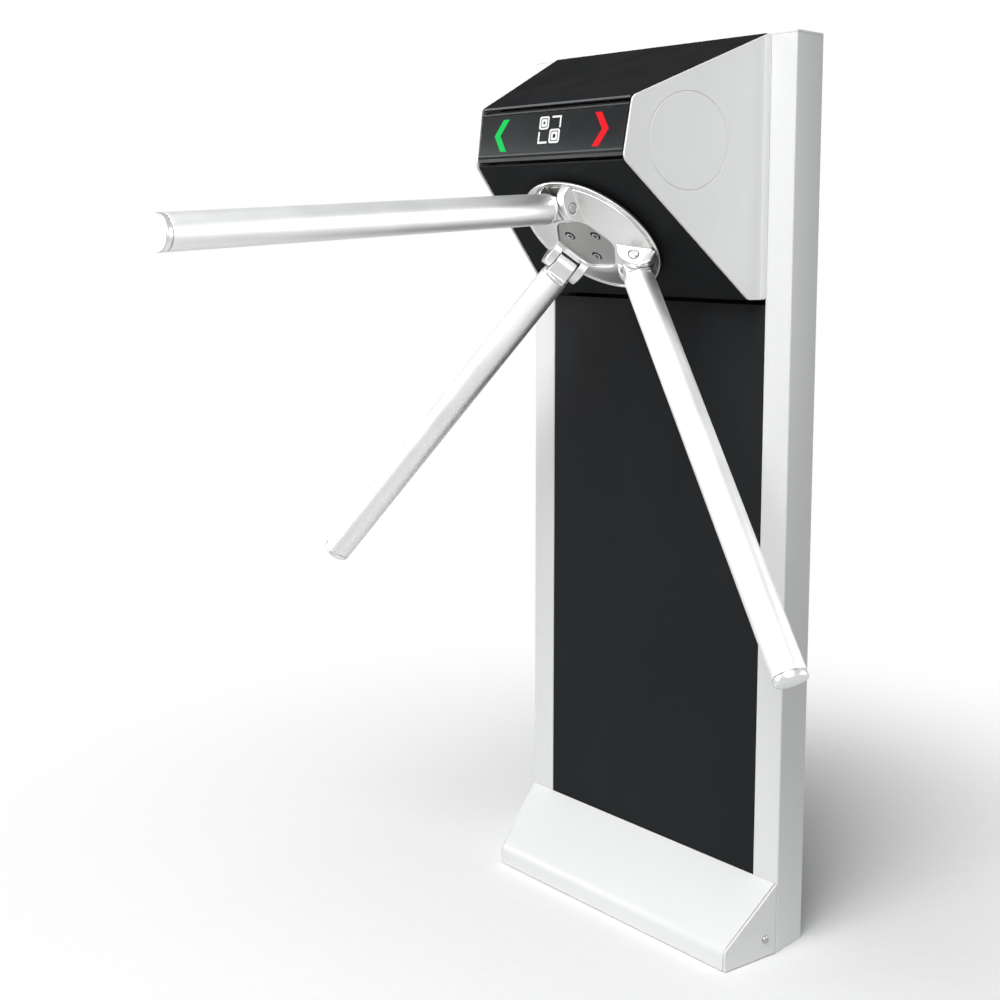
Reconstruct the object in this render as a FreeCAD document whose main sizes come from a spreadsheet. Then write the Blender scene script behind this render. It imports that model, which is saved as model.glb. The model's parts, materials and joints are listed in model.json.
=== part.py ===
import FreeCAD, Part
import Sketcher
import math
import os

# Visitor counter turnstile: a floor-standing column with a slanted head and a three-arm hub.
# +X is the visitor's right, -Y is the side the arms are on, +Z is up, millimetres.
# The origin is on the floor, in the middle of the four anchor holes.

SIZES = {
    # column
    "height": 1030, "column_width": 388, "column_depth": 50, "setback": 14,
    "post_width": 34, "post_wall": 2, "cap_thick": 3, "panel_sheet": 1.5, "panel_return": 12,
    "panel_gap": 0.5, "rail_height": 30, "rail_sheet": 2, "rear_panel_floor": 13,
    "lower_rail_level": 120, "head_rail_drop": 278, "upper_rail_drop": 45,
    # foot
    "plate_thick": 10, "anchor_inset": 35, "anchor_pitch": 80, "anchor_hole": 14,
    "cover_top": 83, "cover_reach": 76, "lip_height": 24, "cover_taper": 11,
    "cover_sheet": 2, "end_thick": 3, "bend_radius": 9, "floor_gap": 1, "cover_screw": 9,
    "cover_screw_reach": 17.5, "cover_screw_level": 22,
    # head
    "nose_reach": 171, "brow_drop": 75, "band_drop": 63.5, "band_lean": 10.5,
    "face_length": 218, "face_tilt": 47, "side_taper": 15, "side_thick": 3, "side_corner": 9,
    "rib_thick": 3, "cover_thick": 2, "seam": 0.4, "back_gap": 1.5, "back_sheet": 3,
    "reader_ring": 103, "reader_reach": 106, "reader_drop": 118.5, "bezel_depth": 8,
    "window_margin": 9, "window_thick": 2.4, "window_side": 7,
    "arrow_width": 21, "arrow_height": 36, "arrow_stroke": 9, "arrow_inset": 26,
    "card_size": 44, "print_thick": 0.4,
    # hub and arms
    "disc_margin": 1.5, "disc_thick": 6.5, "disc_gap": 2.5, "pivot_standoff": 23,
    "pivot_radius": 61, "ear_radius": 23.5, "ear_drop": 11.5, "ear_thick": 10,
    "tongue_width": 25.4, "tongue_radius": 13, "tongue_gap": 0.3, "slot_reach": 15.5,
    "recess_reach": 38, "recess_half": 20, "recess_depth": 3.5, "screw_well": 6.2,
    "pin_diameter": 10, "running_fit": 0.075, "screw_circle": 22,
    "arm_splay": 44, "arm_length": 488, "tube_diameter": 34, "tube_wall": 1.5,
    "neck_length": 20, "plug_length": 30, "cap_length": 7,
    # mechanism
    "shaft_diameter": 30, "bearing_diameter": 62, "bearing_width": 14, "housing_wall": 7,
    "mount_depth": 25, "mount_thick": 5, "wheel_radius": 55, "wheel_thick": 10,
    "wheel_depth": 62, "notch_count": 12, "notch_depth": 9, "notch_width": 15,
    "pawl_clear": 1.6, "lock_angle": 30,
    "pawl_arm": 34, "pawl_pin": 8, "bridge_depth": 92, "damper_radius": 30,
    "damper_length": 22, "encoder_radius": 34, "solenoid_width": 26, "solenoid_length": 34,
}

doc = FreeCAD.newDocument("visitor_turnstile")
sheet = doc.addObject("Spreadsheet::Sheet", "Dim")
for row, (alias, value) in enumerate(SIZES.items(), 1):
    sheet.set(f"A{row}", alias)
    sheet.set(f"B{row}", str(value))
    sheet.setAlias(f"B{row}", alias)
doc.recompute()

SIDES = (("left", -1), ("right", 1))

# Places worked out from the driving sizes, as expressions for the sheet.
PANEL_HALF = "(Dim.column_width / 2 - Dim.post_width)"
ANCHOR_HALF = f"({PANEL_HALF} - Dim.anchor_inset)"
REAR = "(Dim.setback + Dim.column_depth)"
CHIN_REACH = "(Dim.nose_reach + Dim.band_lean)"
BROW_LEVEL = "(Dim.height - Dim.brow_drop)"
CHIN_LEVEL = f"({BROW_LEVEL} - Dim.band_drop)"
READER = ("0 - Dim.reader_reach", "Dim.height - Dim.reader_drop")
FACE_RUN = "(Dim.face_length * sin(Dim.face_tilt * 1 deg))"
FACE_DROP = "(Dim.face_length * cos(Dim.face_tilt * 1 deg))"
THROAT_REACH = f"({CHIN_REACH} - {FACE_RUN})"
THROAT_LEVEL = f"({CHIN_LEVEL} - {FACE_DROP})"
BROW_SLOPE = "atan(Dim.brow_drop / Dim.nose_reach)"
BROW_LENGTH = "sqrt(Dim.brow_drop ^ 2 + Dim.nose_reach ^ 2)"
BAND_LENGTH = "sqrt(Dim.band_drop ^ 2 + Dim.band_lean ^ 2)"
BAND_SLOPE = "atan2(Dim.band_drop; Dim.band_lean)"
TAPER = "tan(Dim.side_taper * 1 deg)"
SIDE_RUN = "cos(Dim.side_taper * 1 deg)"
INNER_LOSS = f"((Dim.side_thick + Dim.seam) / {SIDE_RUN})"
RIB_LOSS = f"((Dim.side_thick + Dim.rib_thick + Dim.seam) / {SIDE_RUN})"
FOOT_TAPER = "tan(Dim.cover_taper * 1 deg)"
FOOT_RUN = "cos(Dim.cover_taper * 1 deg)"
DISC_FACE = "(Dim.disc_gap + Dim.disc_thick)"
DISC_RADIUS = "(Dim.pivot_radius + Dim.ear_radius + Dim.disc_margin)"
EAR_INNER = "(Dim.tongue_width / 2 + Dim.tongue_gap)"
EAR_OUTER = f"({EAR_INNER} + Dim.ear_thick)"
PAWL_NOSE = "(Dim.wheel_radius + Dim.pawl_clear)"
PAWL_TOP = f"({PAWL_NOSE} + 23)"
PAWL_AXIS = f"({PAWL_NOSE} + 17)"

# Frames: each turns a flat sketch on XY into the plane of its panel.
BROW = f"placement(vector(0; Dim.setback; Dim.height); rotation(vector(1; 0; 0); {BROW_SLOPE}))"
BAND = (f"placement(vector(0; Dim.setback - Dim.nose_reach; {BROW_LEVEL});"
        f" rotation(vector(1; 0; 0); {BAND_SLOPE}))")
HUB = (f"placement(vector(0; Dim.setback - {CHIN_REACH} + {FACE_RUN} / 2;"
       f" {CHIN_LEVEL} - {FACE_DROP} / 2); rotation(vector(1; 0; 0); 90 + Dim.face_tilt))")


def upright(depth):
    """Frame of a sheet that stands across the column: sketch x is +X, sketch y is up."""
    return f"placement(vector(0; {depth}; 0); rotation(vector(1; 0; 0); 90))"


def side_frame(side, half_width, taper):
    """Frame of a tapered side: sketch x runs backward along it, y is up, z is towards +X."""
    turn = f"rotation(vector(0; 0; 1); {-side} * {taper})"
    flip = "rotation(vector(0; 0; 1); 90) * rotation(vector(1; 0; 0); 90)"
    return f"placement(vector({side} * {half_width}; Dim.setback; 0); {turn} * {flip})"


def arm_frame(turn):
    """Frame of one arm: x is its hinge pin, z runs along the arm from the pin."""
    spun = f"placement(vector(0; 0; 0); rotation(vector(0; 0; 1); {turn}))"
    hinge = ("placement(vector(0; Dim.pivot_radius; Dim.pivot_standoff);"
             " rotation(vector(1; 0; 0); 0 - Dim.arm_splay))")
    return f"{HUB} * {spun} * {hinge}"


def number(expression):
    """The present value of an expression, as a plain number."""
    value = sheet.evalExpression(str(expression))
    return float(getattr(value, "Value", value))


def make_body(label, frame=None):
    body = doc.addObject("PartDesign::Body", label)
    body.Label = label
    body.AllowCompound = True
    if frame:
        body.setExpression("Placement", frame)
    return body


def make_sketch(body, role="XY_Plane"):
    sketch = body.newObject("Sketcher::SketchObject", body.Label + "_sketch")
    plane = [item for item in body.Origin.OriginFeatures if item.Role == role][0]
    sketch.AttachmentSupport = [(plane, "")]
    sketch.MapMode = "FlatFace"
    return sketch


def pin_point(sketch, geometry, place, point):
    """Fixes one point of the sketch at a pair of expressions."""
    for kind, value in zip(("DistanceX", "DistanceY"), point):
        index = sketch.addConstraint(
            Sketcher.Constraint(kind, -1, 1, geometry, place, number(value)))
        sketch.setExpression(f"Constraints[{index}]", str(value))


def draw_polygon(sketch, points):
    """A closed outline through points given as pairs of expressions."""
    corners = [FreeCAD.Vector(number(x), number(y), 0) for x, y in points]
    first = sketch.GeometryCount
    count = len(points)
    for index in range(count):
        line = Part.LineSegment(corners[index], corners[(index + 1) % count])
        sketch.addGeometry(line)
    for index in range(count):
        following = first + (index + 1) % count
        sketch.addConstraint(Sketcher.Constraint("Coincident", first + index, 2, following, 1))
    for index, point in enumerate(points):
        pin_point(sketch, first + index, 1, point)


def draw_rectangle(sketch, left, bottom, right, top):
    draw_polygon(sketch, [(left, bottom), (right, bottom), (right, top), (left, top)])


def draw_circle(sketch, centre, radius):
    middle = FreeCAD.Vector(number(centre[0]), number(centre[1]), 0)
    index = sketch.addGeometry(
        Part.Circle(middle, FreeCAD.Vector(0, 0, 1), number(radius)))
    pin_point(sketch, index, 3, centre)
    bound = sketch.addConstraint(Sketcher.Constraint("Radius", index, number(radius)))
    sketch.setExpression(f"Constraints[{bound}]", str(radius))


def extrude(body, kind, sketch, length, offset=None, reverse=False, middle=False):
    """A Pad or Pocket of a sketch, with the sketch lifted by an offset along its normal."""
    if offset is not None:
        sketch.setExpression("AttachmentOffset.Base.z", str(offset))
    feature = body.newObject(f"PartDesign::{kind}", f"{body.Label}_{kind.lower()}")
    feature.Profile = sketch
    feature.setExpression("Length", str(length))
    feature.Reversed = reverse
    feature.Midplane = middle
    sketch.Visibility = False
    return feature


def plate(label, frame, points, thick, offset=0, holes=(), reverse=False):
    """A flat sheet: an outline with round holes, padded by its thickness."""
    body = make_body(label, frame)
    sketch = make_sketch(body)
    draw_polygon(sketch, points)
    for centre, radius in holes:
        draw_circle(sketch, centre, radius)
    extrude(body, "Pad", sketch, thick, offset, reverse)
    return body


def side_sheet(label, side, frame, points, thick, depth="0", holes=()):
    """A sheet along a tapered side, from (forward, up) points, set inward by a depth."""
    outline = [(f"0 - {forward}", up) for forward, up in points]
    bores = [((f"0 - {forward}", up), radius) for (forward, up), radius in holes]
    return plate(label, frame, outline, thick, f"{-side} * {depth}", bores, reverse=side > 0)


def turned(label, frame, profile):
    """A turned piece: a closed profile of (radius, height) spun round the frame's z."""
    body = make_body(label, frame)
    sketch = make_sketch(body, "YZ_Plane")
    draw_polygon(sketch, profile)
    feature = body.newObject("PartDesign::Revolution", label + "_revolution")
    feature.Profile = sketch
    feature.ReferenceAxis = (sketch, ["V_Axis"])
    feature.Angle = 360
    return body


def cut_outlines(body, outlines, depth, offset, reverse=False, circles=()):
    """Cuts outlines from an offset level downward, or upward when reversed, and checks it."""
    doc.recompute()
    before = body.Shape.Volume
    sketch = make_sketch(body)
    for points in outlines:
        draw_polygon(sketch, points)
    for centre, radius in circles:
        draw_circle(sketch, centre, radius)
    feature = extrude(body, "Pocket", sketch, depth, offset, reverse)
    doc.recompute()
    if not body.Shape.Volume < before - 1e-6:
        raise ValueError(f"{body.Label}: a pocket cuts nothing")
    return feature


def spin_copies(body, features, count):
    """Repeats features evenly round the body's z axis."""
    pattern = body.newObject("PartDesign::PolarPattern", body.Label + "_pattern")
    pattern.Originals = features
    axis = [item for item in body.Origin.OriginFeatures if item.Role == "Z_Axis"][0]
    pattern.Axis = (axis, [""])
    pattern.Angle = 360
    pattern.Occurrences = count
    body.Tip = pattern
    return pattern


def dress(body, kind, size, chosen):
    """A Fillet or Chamfer on the edges of the body that the test picks."""
    doc.recompute()
    base = body.Tip
    names = [f"Edge{i}" for i, edge in enumerate(base.Shape.Edges, 1) if chosen(edge)]
    if not names:
        raise ValueError(f"{body.Label}: no edge to dress")
    feature = body.newObject(f"PartDesign::{kind}", f"{body.Label}_{kind.lower()}")
    feature.Base = (base, names)
    feature.setExpression("Radius" if kind == "Fillet" else "Size", str(size))
    doc.recompute()
    return feature


def along(axis, length=None):
    """A test for straight edges along one of the body's own axes."""
    direction = FreeCAD.Vector(*axis)

    def chosen(edge):
        if edge.Curve.TypeId != "Part::GeomLine":
            return False
        if length and abs(edge.Length - number(length)) > 0.01:
            return False
        return abs(abs(edge.tangentAt(edge.FirstParameter).dot(direction)) - 1) < 1e-6
    return chosen


def group(label, pieces):
    """Identical pieces that share one sub-part."""
    compound = doc.addObject("Part::Compound", label)
    compound.Label = label
    compound.Links = pieces
    return compound


def pair(label, maker):
    """A left and a right piece that share one sub-part."""
    return group(label, [maker(f"{label}_{name}", side) for name, side in SIDES])


# ---------------------------------------------------------------- column

def column_post(label, side):
    """A rectangular steel tube that stands on the floor at one edge of the column."""
    body = make_body(label)
    sketch = make_sketch(body)
    inner = f"{side} * {PANEL_HALF}"
    outer = f"{side} * Dim.column_width / 2"
    wall = f"{side} * Dim.post_wall"
    draw_rectangle(sketch, inner, "Dim.setback", outer, REAR)
    draw_rectangle(sketch, f"{inner} + {wall}", "Dim.setback + Dim.post_wall",
                   f"{outer} - {wall}", f"{REAR} - Dim.post_wall")
    extrude(body, "Pad", sketch, "Dim.height - Dim.cap_thick")

    def outer_corner(edge):
        x, y = edge.Vertexes[0].Point.x, edge.Vertexes[0].Point.y
        on_side = min(abs(abs(x) - number(PANEL_HALF)), abs(abs(x) - number("Dim.column_width / 2")))
        on_face = min(abs(y - number("Dim.setback")), abs(y - number(REAR)))
        return along((0, 0, 1))(edge) and on_side < 0.01 and on_face < 0.01
    dress(body, "Fillet", "Dim.post_wall * 0.75", outer_corner)
    return body


def top_cap():
    """The thin plate that closes both posts and the space between them."""
    half = "Dim.column_width / 2"
    body = plate("top_cap", None, [(f"0 - {half}", "Dim.setback"), (half, "Dim.setback"),
                 (half, REAR), (f"0 - {half}", REAR)], "Dim.cap_thick",
                 "Dim.height - Dim.cap_thick")
    dress(body, "Fillet", "Dim.post_wall * 0.75", along((0, 0, 1)))
    return body


def panel_pan(label, face, inward, bottom, top):
    """A sheet panel between the posts with two returns folded into the column."""
    body = make_body(label)
    sketch = make_sketch(body)
    half = f"({PANEL_HALF} - Dim.panel_gap)"
    skin = f"{face} + {inward} * Dim.panel_sheet"
    back = f"{face} + {inward} * Dim.panel_return"
    points = [(f"0 - {half}", face), (half, face), (half, back),
              (f"{half} - Dim.panel_sheet", back), (f"{half} - Dim.panel_sheet", skin),
              (f"0 - {half} + Dim.panel_sheet", skin), (f"0 - {half} + Dim.panel_sheet", back),
              (f"0 - {half}", back)]
    draw_polygon(sketch, points)
    extrude(body, "Pad", sketch, f"({top}) - ({bottom})", bottom)
    return body


def cross_rail(label, level):
    """A folded channel welded between the posts, open towards the back."""
    front = "(Dim.setback + Dim.panel_return + 1)"
    back = f"({REAR} - Dim.panel_return - 1)"
    body = make_body(label)
    sketch = make_sketch(body, "YZ_Plane")
    top = f"({level} + Dim.rail_height)"
    draw_polygon(sketch, [(back, level), (front, level), (front, top), (back, top),
                 (back, f"{top} - Dim.rail_sheet"),
                 (f"{front} + Dim.rail_sheet", f"{top} - Dim.rail_sheet"),
                 (f"{front} + Dim.rail_sheet", f"{level} + Dim.rail_sheet"),
                 (back, f"{level} + Dim.rail_sheet")])
    extrude(body, "Pad", sketch, f"2 * {PANEL_HALF}", middle=True)
    return body


# ---------------------------------------------------------------- foot

def foot_half(reach, margin):
    """Half the foot's width at a distance in front of the column, less a margin."""
    return f"(Dim.column_width / 2 - ({reach}) * {FOOT_TAPER} - ({margin}))"


def base_plate():
    """The anchor plate: wide in front of the posts and notched between them."""
    front_reach = "(Dim.cover_reach - 8)"
    front = f"Dim.setback - {front_reach}"
    wide = foot_half("0", "Dim.end_thick + 3")
    narrow = foot_half(front_reach, "Dim.end_thick + 3")
    rear = f"{REAR} - Dim.panel_sheet - 1"
    points = [(f"0 - {narrow}", front), (narrow, front), (wide, "Dim.setback"),
              (PANEL_HALF, "Dim.setback"), (PANEL_HALF, rear), (f"0 - {PANEL_HALF}", rear),
              (f"0 - {PANEL_HALF}", "Dim.setback"), (f"0 - {wide}", "Dim.setback")]
    holes = [((f"{side} * {ANCHOR_HALF}", f"{end} * Dim.anchor_pitch / 2"),
              "Dim.anchor_hole / 2") for side in (-1, 1) for end in (-1, 1)]
    return plate("base_plate", None, points, "Dim.plate_thick", 0, holes)


def foot_cover():
    """The bent sheet over the anchor plate: a slope, a rounded bend and a short lip."""
    body = make_body("foot_cover")
    sketch = make_sketch(body, "YZ_Plane")
    back = "(Dim.setback - Dim.seam)"
    front = "(Dim.setback - Dim.cover_reach)"
    slope = "atan((Dim.cover_top - Dim.lip_height) / Dim.cover_reach)"
    drop = f"(Dim.cover_sheet / cos({slope}))"
    inner = f"({front} + Dim.cover_sheet)"
    points = [(front, "Dim.floor_gap"), (front, "Dim.lip_height"), (back, "Dim.cover_top"),
              (back, f"Dim.cover_top - {drop}"),
              (inner, f"Dim.lip_height - {drop} + Dim.cover_sheet * tan({slope})"),
              (inner, "Dim.floor_gap")]
    draw_polygon(sketch, points)
    extrude(body, "Pad", sketch, "Dim.column_width", middle=True)
    doc.recompute()

    def bend(edge):
        point = edge.Vertexes[0].Point
        near = abs(point.y - number(front)) < 0.01 and abs(point.z - number("Dim.lip_height")) < 0.01
        return along((1, 0, 0))(edge) and near
    dress(body, "Fillet", "Dim.bend_radius", bend)
    margin = f"(Dim.end_thick + Dim.seam) / {FOOT_RUN}"
    far = "(Dim.cover_reach + 10)"
    outlines = []
    for side in (-1, 1):
        outlines.append([
            (f"{side} * {foot_half('-10', margin)}", "Dim.setback + 10"),
            (f"{side} * {foot_half(far, margin)}", f"Dim.setback - {far}"),
            (f"{side} * (Dim.column_width / 2 + 10)", f"Dim.setback - {far}"),
            (f"{side} * (Dim.column_width / 2 + 10)", "Dim.setback + 10")])
    cut_outlines(body, outlines, "Dim.cover_top * 2", "Dim.cover_top + 10")
    return body


def cover_end(label, side):
    """The flat plate that closes one end of the foot cover, with its screw hole."""
    run = f"(Dim.cover_reach / {FOOT_RUN})"
    points = [("Dim.back_gap", "Dim.floor_gap"), (run, "Dim.floor_gap"),
              (run, "Dim.lip_height"), ("Dim.back_gap", "Dim.cover_top - Dim.back_gap")]
    screw = (("Dim.cover_screw_reach", "Dim.cover_screw_level"), "Dim.cover_screw / 4")
    frame = side_frame(side, "Dim.column_width / 2", "Dim.cover_taper")
    body = side_sheet(label, side, frame, points, "Dim.end_thick", holes=[screw])

    def bend(edge):
        point = edge.Vertexes[0].Point
        near = abs(point.x + number(run)) < 0.01 and abs(point.y - number("Dim.lip_height")) < 0.01
        return along((0, 0, 1))(edge) and near
    dress(body, "Fillet", "Dim.bend_radius", bend)
    return body


def cover_screw(label, side):
    """A round-head screw in the end plate, with a hexagon socket."""
    frame = side_frame(side, "Dim.column_width / 2", "Dim.cover_taper")
    shank = "(Dim.cover_screw / 4 - Dim.running_fit)"
    body = make_body(label, frame)
    centre = ("0 - Dim.cover_screw_reach", "Dim.cover_screw_level")
    head = make_sketch(body)
    draw_circle(head, centre, "Dim.cover_screw / 2")
    extrude(body, "Pad", head, "Dim.cover_screw / 4", reverse=side < 0)
    stem = make_sketch(body)
    draw_circle(stem, centre, shank)
    extrude(body, "Pad", stem, "Dim.end_thick + 6", reverse=side > 0)
    doc.recompute()
    top = number("Dim.cover_screw / 4")
    dress(body, "Fillet", "Dim.cover_screw / 6",
          lambda edge: edge.Closed and abs(abs(edge.Vertexes[0].Point.z) - top) < 0.01)
    socket = [hexagon(centre, "Dim.cover_screw / 5")]
    cut_outlines(body, socket, "Dim.cover_screw / 6", f"{side} * Dim.cover_screw / 4",
                 reverse=side < 0)
    return body


def hexagon(centre, radius):
    """Six corners round a centre."""
    return [(f"({centre[0]}) + {radius} * cos({60 * turn} deg)",
             f"({centre[1]}) + {radius} * sin({60 * turn} deg)") for turn in range(6)]


def cover_bracket(label, side):
    """The angle on the anchor plate that the end plate's screw bites into."""
    frame = side_frame(side, "Dim.column_width / 2", "Dim.cover_taper")
    low = "Dim.plate_thick"
    near = "(Dim.cover_screw_reach - 10)"
    far = "(Dim.cover_screw_reach + 10)"
    top = "(Dim.cover_screw_level + 12)"
    screw = (("Dim.cover_screw_reach", "Dim.cover_screw_level"), "Dim.cover_screw / 4")
    return side_sheet(label, side, frame, [(near, low), (far, low), (far, top), (near, top)],
                      "3", "(Dim.end_thick + Dim.seam)", [screw])


# ---------------------------------------------------------------- head shell

def head_outline(inset):
    """The head's side profile as (forward, up) points, drawn in by an inset."""
    brow = f"{inset} / cos({BROW_SLOPE})"

    def run(reach):
        return f"(({reach}) / {SIDE_RUN})"
    return [
        ("Dim.back_gap", f"(Dim.height - {brow} - Dim.back_gap * 0.44)"),
        (run(f"Dim.nose_reach - {inset} * 0.9"), f"({BROW_LEVEL} - {inset} * 0.77)"),
        (run(f"{CHIN_REACH} - {inset} * 1.03"), f"({CHIN_LEVEL} + {inset} * 0.51)"),
        (run(f"{THROAT_REACH} - {inset} * 0.44"), f"({THROAT_LEVEL} + {inset})"),
        ("Dim.back_gap", f"({THROAT_LEVEL} + {inset})"),
    ]


def head_side(label, side):
    """A white side plate of the head, with the thin ring of the card reader cut in it."""
    frame = side_frame(side, PANEL_HALF, "Dim.side_taper")
    body = side_sheet(label, side, frame, head_outline("0"), "Dim.side_thick")
    dress(body, "Fillet", "Dim.side_corner",
          lambda edge: along((0, 0, 1), "Dim.side_thick")(edge)
          and abs(edge.Vertexes[0].Point.x) > number("Dim.back_gap") + 1)
    ring = [(READER, "Dim.reader_ring / 2"), (READER, "Dim.reader_ring / 2 - 1")]
    cut_outlines(body, [], "Dim.side_thick / 5", "0", reverse=side < 0, circles=ring)
    return body


def head_rib(label, side):
    """The steel rib inside a side plate: it carries the covers and has a reader window."""
    frame = side_frame(side, PANEL_HALF, "Dim.side_taper")
    points = head_outline("(Dim.bezel_depth + 4)")
    back = "(0 - (Dim.panel_return - 4))"
    points[0] = (back, points[0][1])
    points[-1] = (back, points[-1][1])
    window = (("Dim.reader_reach", READER[1]), "Dim.reader_ring / 2 - 7")
    return side_sheet(label, side, frame, points, "Dim.rib_thick", "Dim.side_thick", [window])


def reader_antenna(label, side):
    """The flat reader coil behind a side plate, in the rib's window."""
    frame = side_frame(side, PANEL_HALF, "Dim.side_taper")
    body = make_body(label, frame)
    sketch = make_sketch(body)
    draw_circle(sketch, READER, "Dim.reader_ring / 2 - 9")
    draw_circle(sketch, READER, "Dim.reader_ring / 2 - 24")
    extrude(body, "Pad", sketch, "1.6", f"{-side} * (Dim.side_thick + 0.1)", reverse=side > 0)
    return body


def width_at(reach, loss):
    """Half the head's inner width at a distance in front of the column."""
    return f"({PANEL_HALF} - ({reach}) * {TAPER} - {loss})"


def head_sheet(label, frame, near, far, length, thick, offset="0", start="0", holes=()):
    """A cover between the two sides: a trapezoid that narrows with their taper."""
    wide = width_at(near, INNER_LOSS)
    narrow = width_at(far, INNER_LOSS)
    points = [(f"0 - {wide}", f"0 - {start}"), (f"0 - {narrow}", f"0 - {length}"),
              (narrow, f"0 - {length}"), (wide, f"0 - {start}")]
    return plate(label, frame, points, thick, offset, holes, reverse=True)


def head_top_cover():
    """The black sloping top of the head."""
    return head_sheet("head_top_cover", BROW, "0", "Dim.nose_reach",
                      f"({BROW_LENGTH} - Dim.seam)", "Dim.cover_thick", start="Dim.back_gap")


def tray_half():
    """Half the width of the bezel's tray."""
    return f"({width_at(CHIN_REACH, INNER_LOSS)} - Dim.window_side)"


def display_bezel():
    """The thick black band across the nose, with a shallow tray for the window."""
    body = head_sheet("display_bezel", BAND, "Dim.nose_reach", CHIN_REACH,
                      f"({BAND_LENGTH} - Dim.seam)", "Dim.bezel_depth",
                      start="(Dim.cover_thick + Dim.seam)")
    half = tray_half()
    tray = [(f"0 - {half}", "0 - Dim.window_margin"), (half, "0 - Dim.window_margin"),
            (half, f"Dim.window_margin - {BAND_LENGTH}"),
            (f"0 - {half}", f"Dim.window_margin - {BAND_LENGTH}")]
    cut_outlines(body, [tray], "Dim.window_thick + 0.8", "0")
    return body


def display_window():
    """The dark glossy pane that lies in the bezel's tray."""
    half = f"({tray_half()} - Dim.seam)"
    top = "(0 - Dim.window_margin - Dim.seam)"
    low = f"(Dim.window_margin + Dim.seam - {BAND_LENGTH})"
    return plate("display_window", BAND, [(f"0 - {half}", top), (half, top), (half, low),
                 (f"0 - {half}", low)], "Dim.window_thick", "0 - 0.8", reverse=True)


def arrow(label, side):
    """A lit chevron on the pane that points outward on its side."""
    offset = f"{tray_half()} - Dim.arrow_inset"
    tip = f"{side} * ({offset} + Dim.arrow_width / 2)"
    heel = f"{side} * ({offset} - Dim.arrow_width / 2)"
    stroke = f"{side} * Dim.arrow_stroke"
    middle = f"(0 - {BAND_LENGTH} / 2)"
    rise = "Dim.arrow_height / 2"
    points = [(tip, middle), (f"{heel} + {stroke}", f"{middle} + {rise}"),
              (heel, f"{middle} + {rise}"), (f"{tip} - {stroke}", middle),
              (heel, f"{middle} - {rise}"), (f"{heel} + {stroke}", f"{middle} - {rise}")]
    return plate(label, BAND, points, "Dim.print_thick", "0 - 0.8")


def reader_card():
    """The printed code-reader symbol: two square targets and two corner marks."""
    body = make_body("reader_card", BAND)
    sketch = make_sketch(body)
    middle = f"(0 - {BAND_LENGTH} / 2)"
    unit = "Dim.card_size / 14"

    def box(x0, y0, x1, y1):
        draw_rectangle(sketch, f"{x0} * {unit}", f"{middle} + {y0} * {unit}",
                       f"{x1} * {unit}", f"{middle} + {y1} * {unit}")

    for x, y in ((-6, 1), (1, -6)):
        box(x, y, x + 5, y + 5)
        box(x + 1, y + 1, x + 4, y + 4)
        box(x + 1.7, y + 1.7, x + 3.3, y + 3.3)
    for sign in (1, -1):
        points = [(6, 6), (1, 6), (1, 5), (5, 5), (5, 1), (6, 1)]
        draw_polygon(sketch, [(f"{sign * x} * {unit}", f"{middle} + {sign * y} * {unit}")
                              for x, y in points])
    extrude(body, "Pad", sketch, "Dim.print_thick", "0 - 0.8")
    return body


def display_board():
    """The lamp board behind the bezel."""
    half = f"({width_at(CHIN_REACH, RIB_LOSS)} - 6)"
    return plate("display_board", BAND, [(f"0 - {half}", "0 - 12"), (half, "0 - 12"),
                 (half, f"12 - {BAND_LENGTH}"), (f"0 - {half}", f"12 - {BAND_LENGTH}")],
                 "1.6", "0 - Dim.bezel_depth - 0.1", reverse=True)


def head_lower_cover():
    """The black slanted face of the head, with the opening for the hub's shaft."""
    frame = HUB
    half_run = "Dim.face_length / 2"
    wide = width_at(THROAT_REACH, INNER_LOSS)
    narrow = width_at(CHIN_REACH, INNER_LOSS)
    low = f"(0 - {half_run} + Dim.cover_thick + Dim.seam)"
    high = f"({half_run} - Dim.cover_thick - 2 * Dim.seam)"
    points = [(f"0 - {wide}", low), (wide, low), (narrow, high), (f"0 - {narrow}", high)]
    hole = (("0", "0"), "Dim.shaft_diameter + 2")
    return plate("head_lower_cover", frame, points, "Dim.cover_thick", 0, [hole], reverse=True)


def head_bottom_plate():
    """The short closing plate between the slanted face and the column."""
    near = "Dim.back_gap"
    wide = width_at(near, INNER_LOSS)
    narrow = width_at(THROAT_REACH, INNER_LOSS)
    front = f"(Dim.setback - {THROAT_REACH} + Dim.seam)"
    back = f"(Dim.setback - {near})"
    return plate("head_bottom_plate", None, [(f"0 - {narrow}", front), (narrow, front),
                 (wide, back), (f"0 - {wide}", back)], "Dim.cover_thick", THROAT_LEVEL)


def head_back_plate():
    """The mounting plate that hangs the head on the two upper rails."""
    half = f"({PANEL_HALF} - 1)"
    low = f"({THROAT_LEVEL} + 2)"
    high = "(Dim.height - Dim.cap_thick - 6)"
    frame = upright("(Dim.setback + Dim.panel_return + 1)")
    body = plate("head_back_plate", frame, [(f"0 - {half}", low), (half, low), (half, high),
                 (f"0 - {half}", high)], "Dim.back_sheet")
    cut_outlines(body, [[("0 - 50", f"{low} + 60"), ("50", f"{low} + 60"),
                 ("50", f"{low} + 110"), ("0 - 50", f"{low} + 110")]],
                 "Dim.back_sheet + 1", "Dim.back_sheet")
    return body


# ---------------------------------------------------------------- mechanism, fixed

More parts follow.
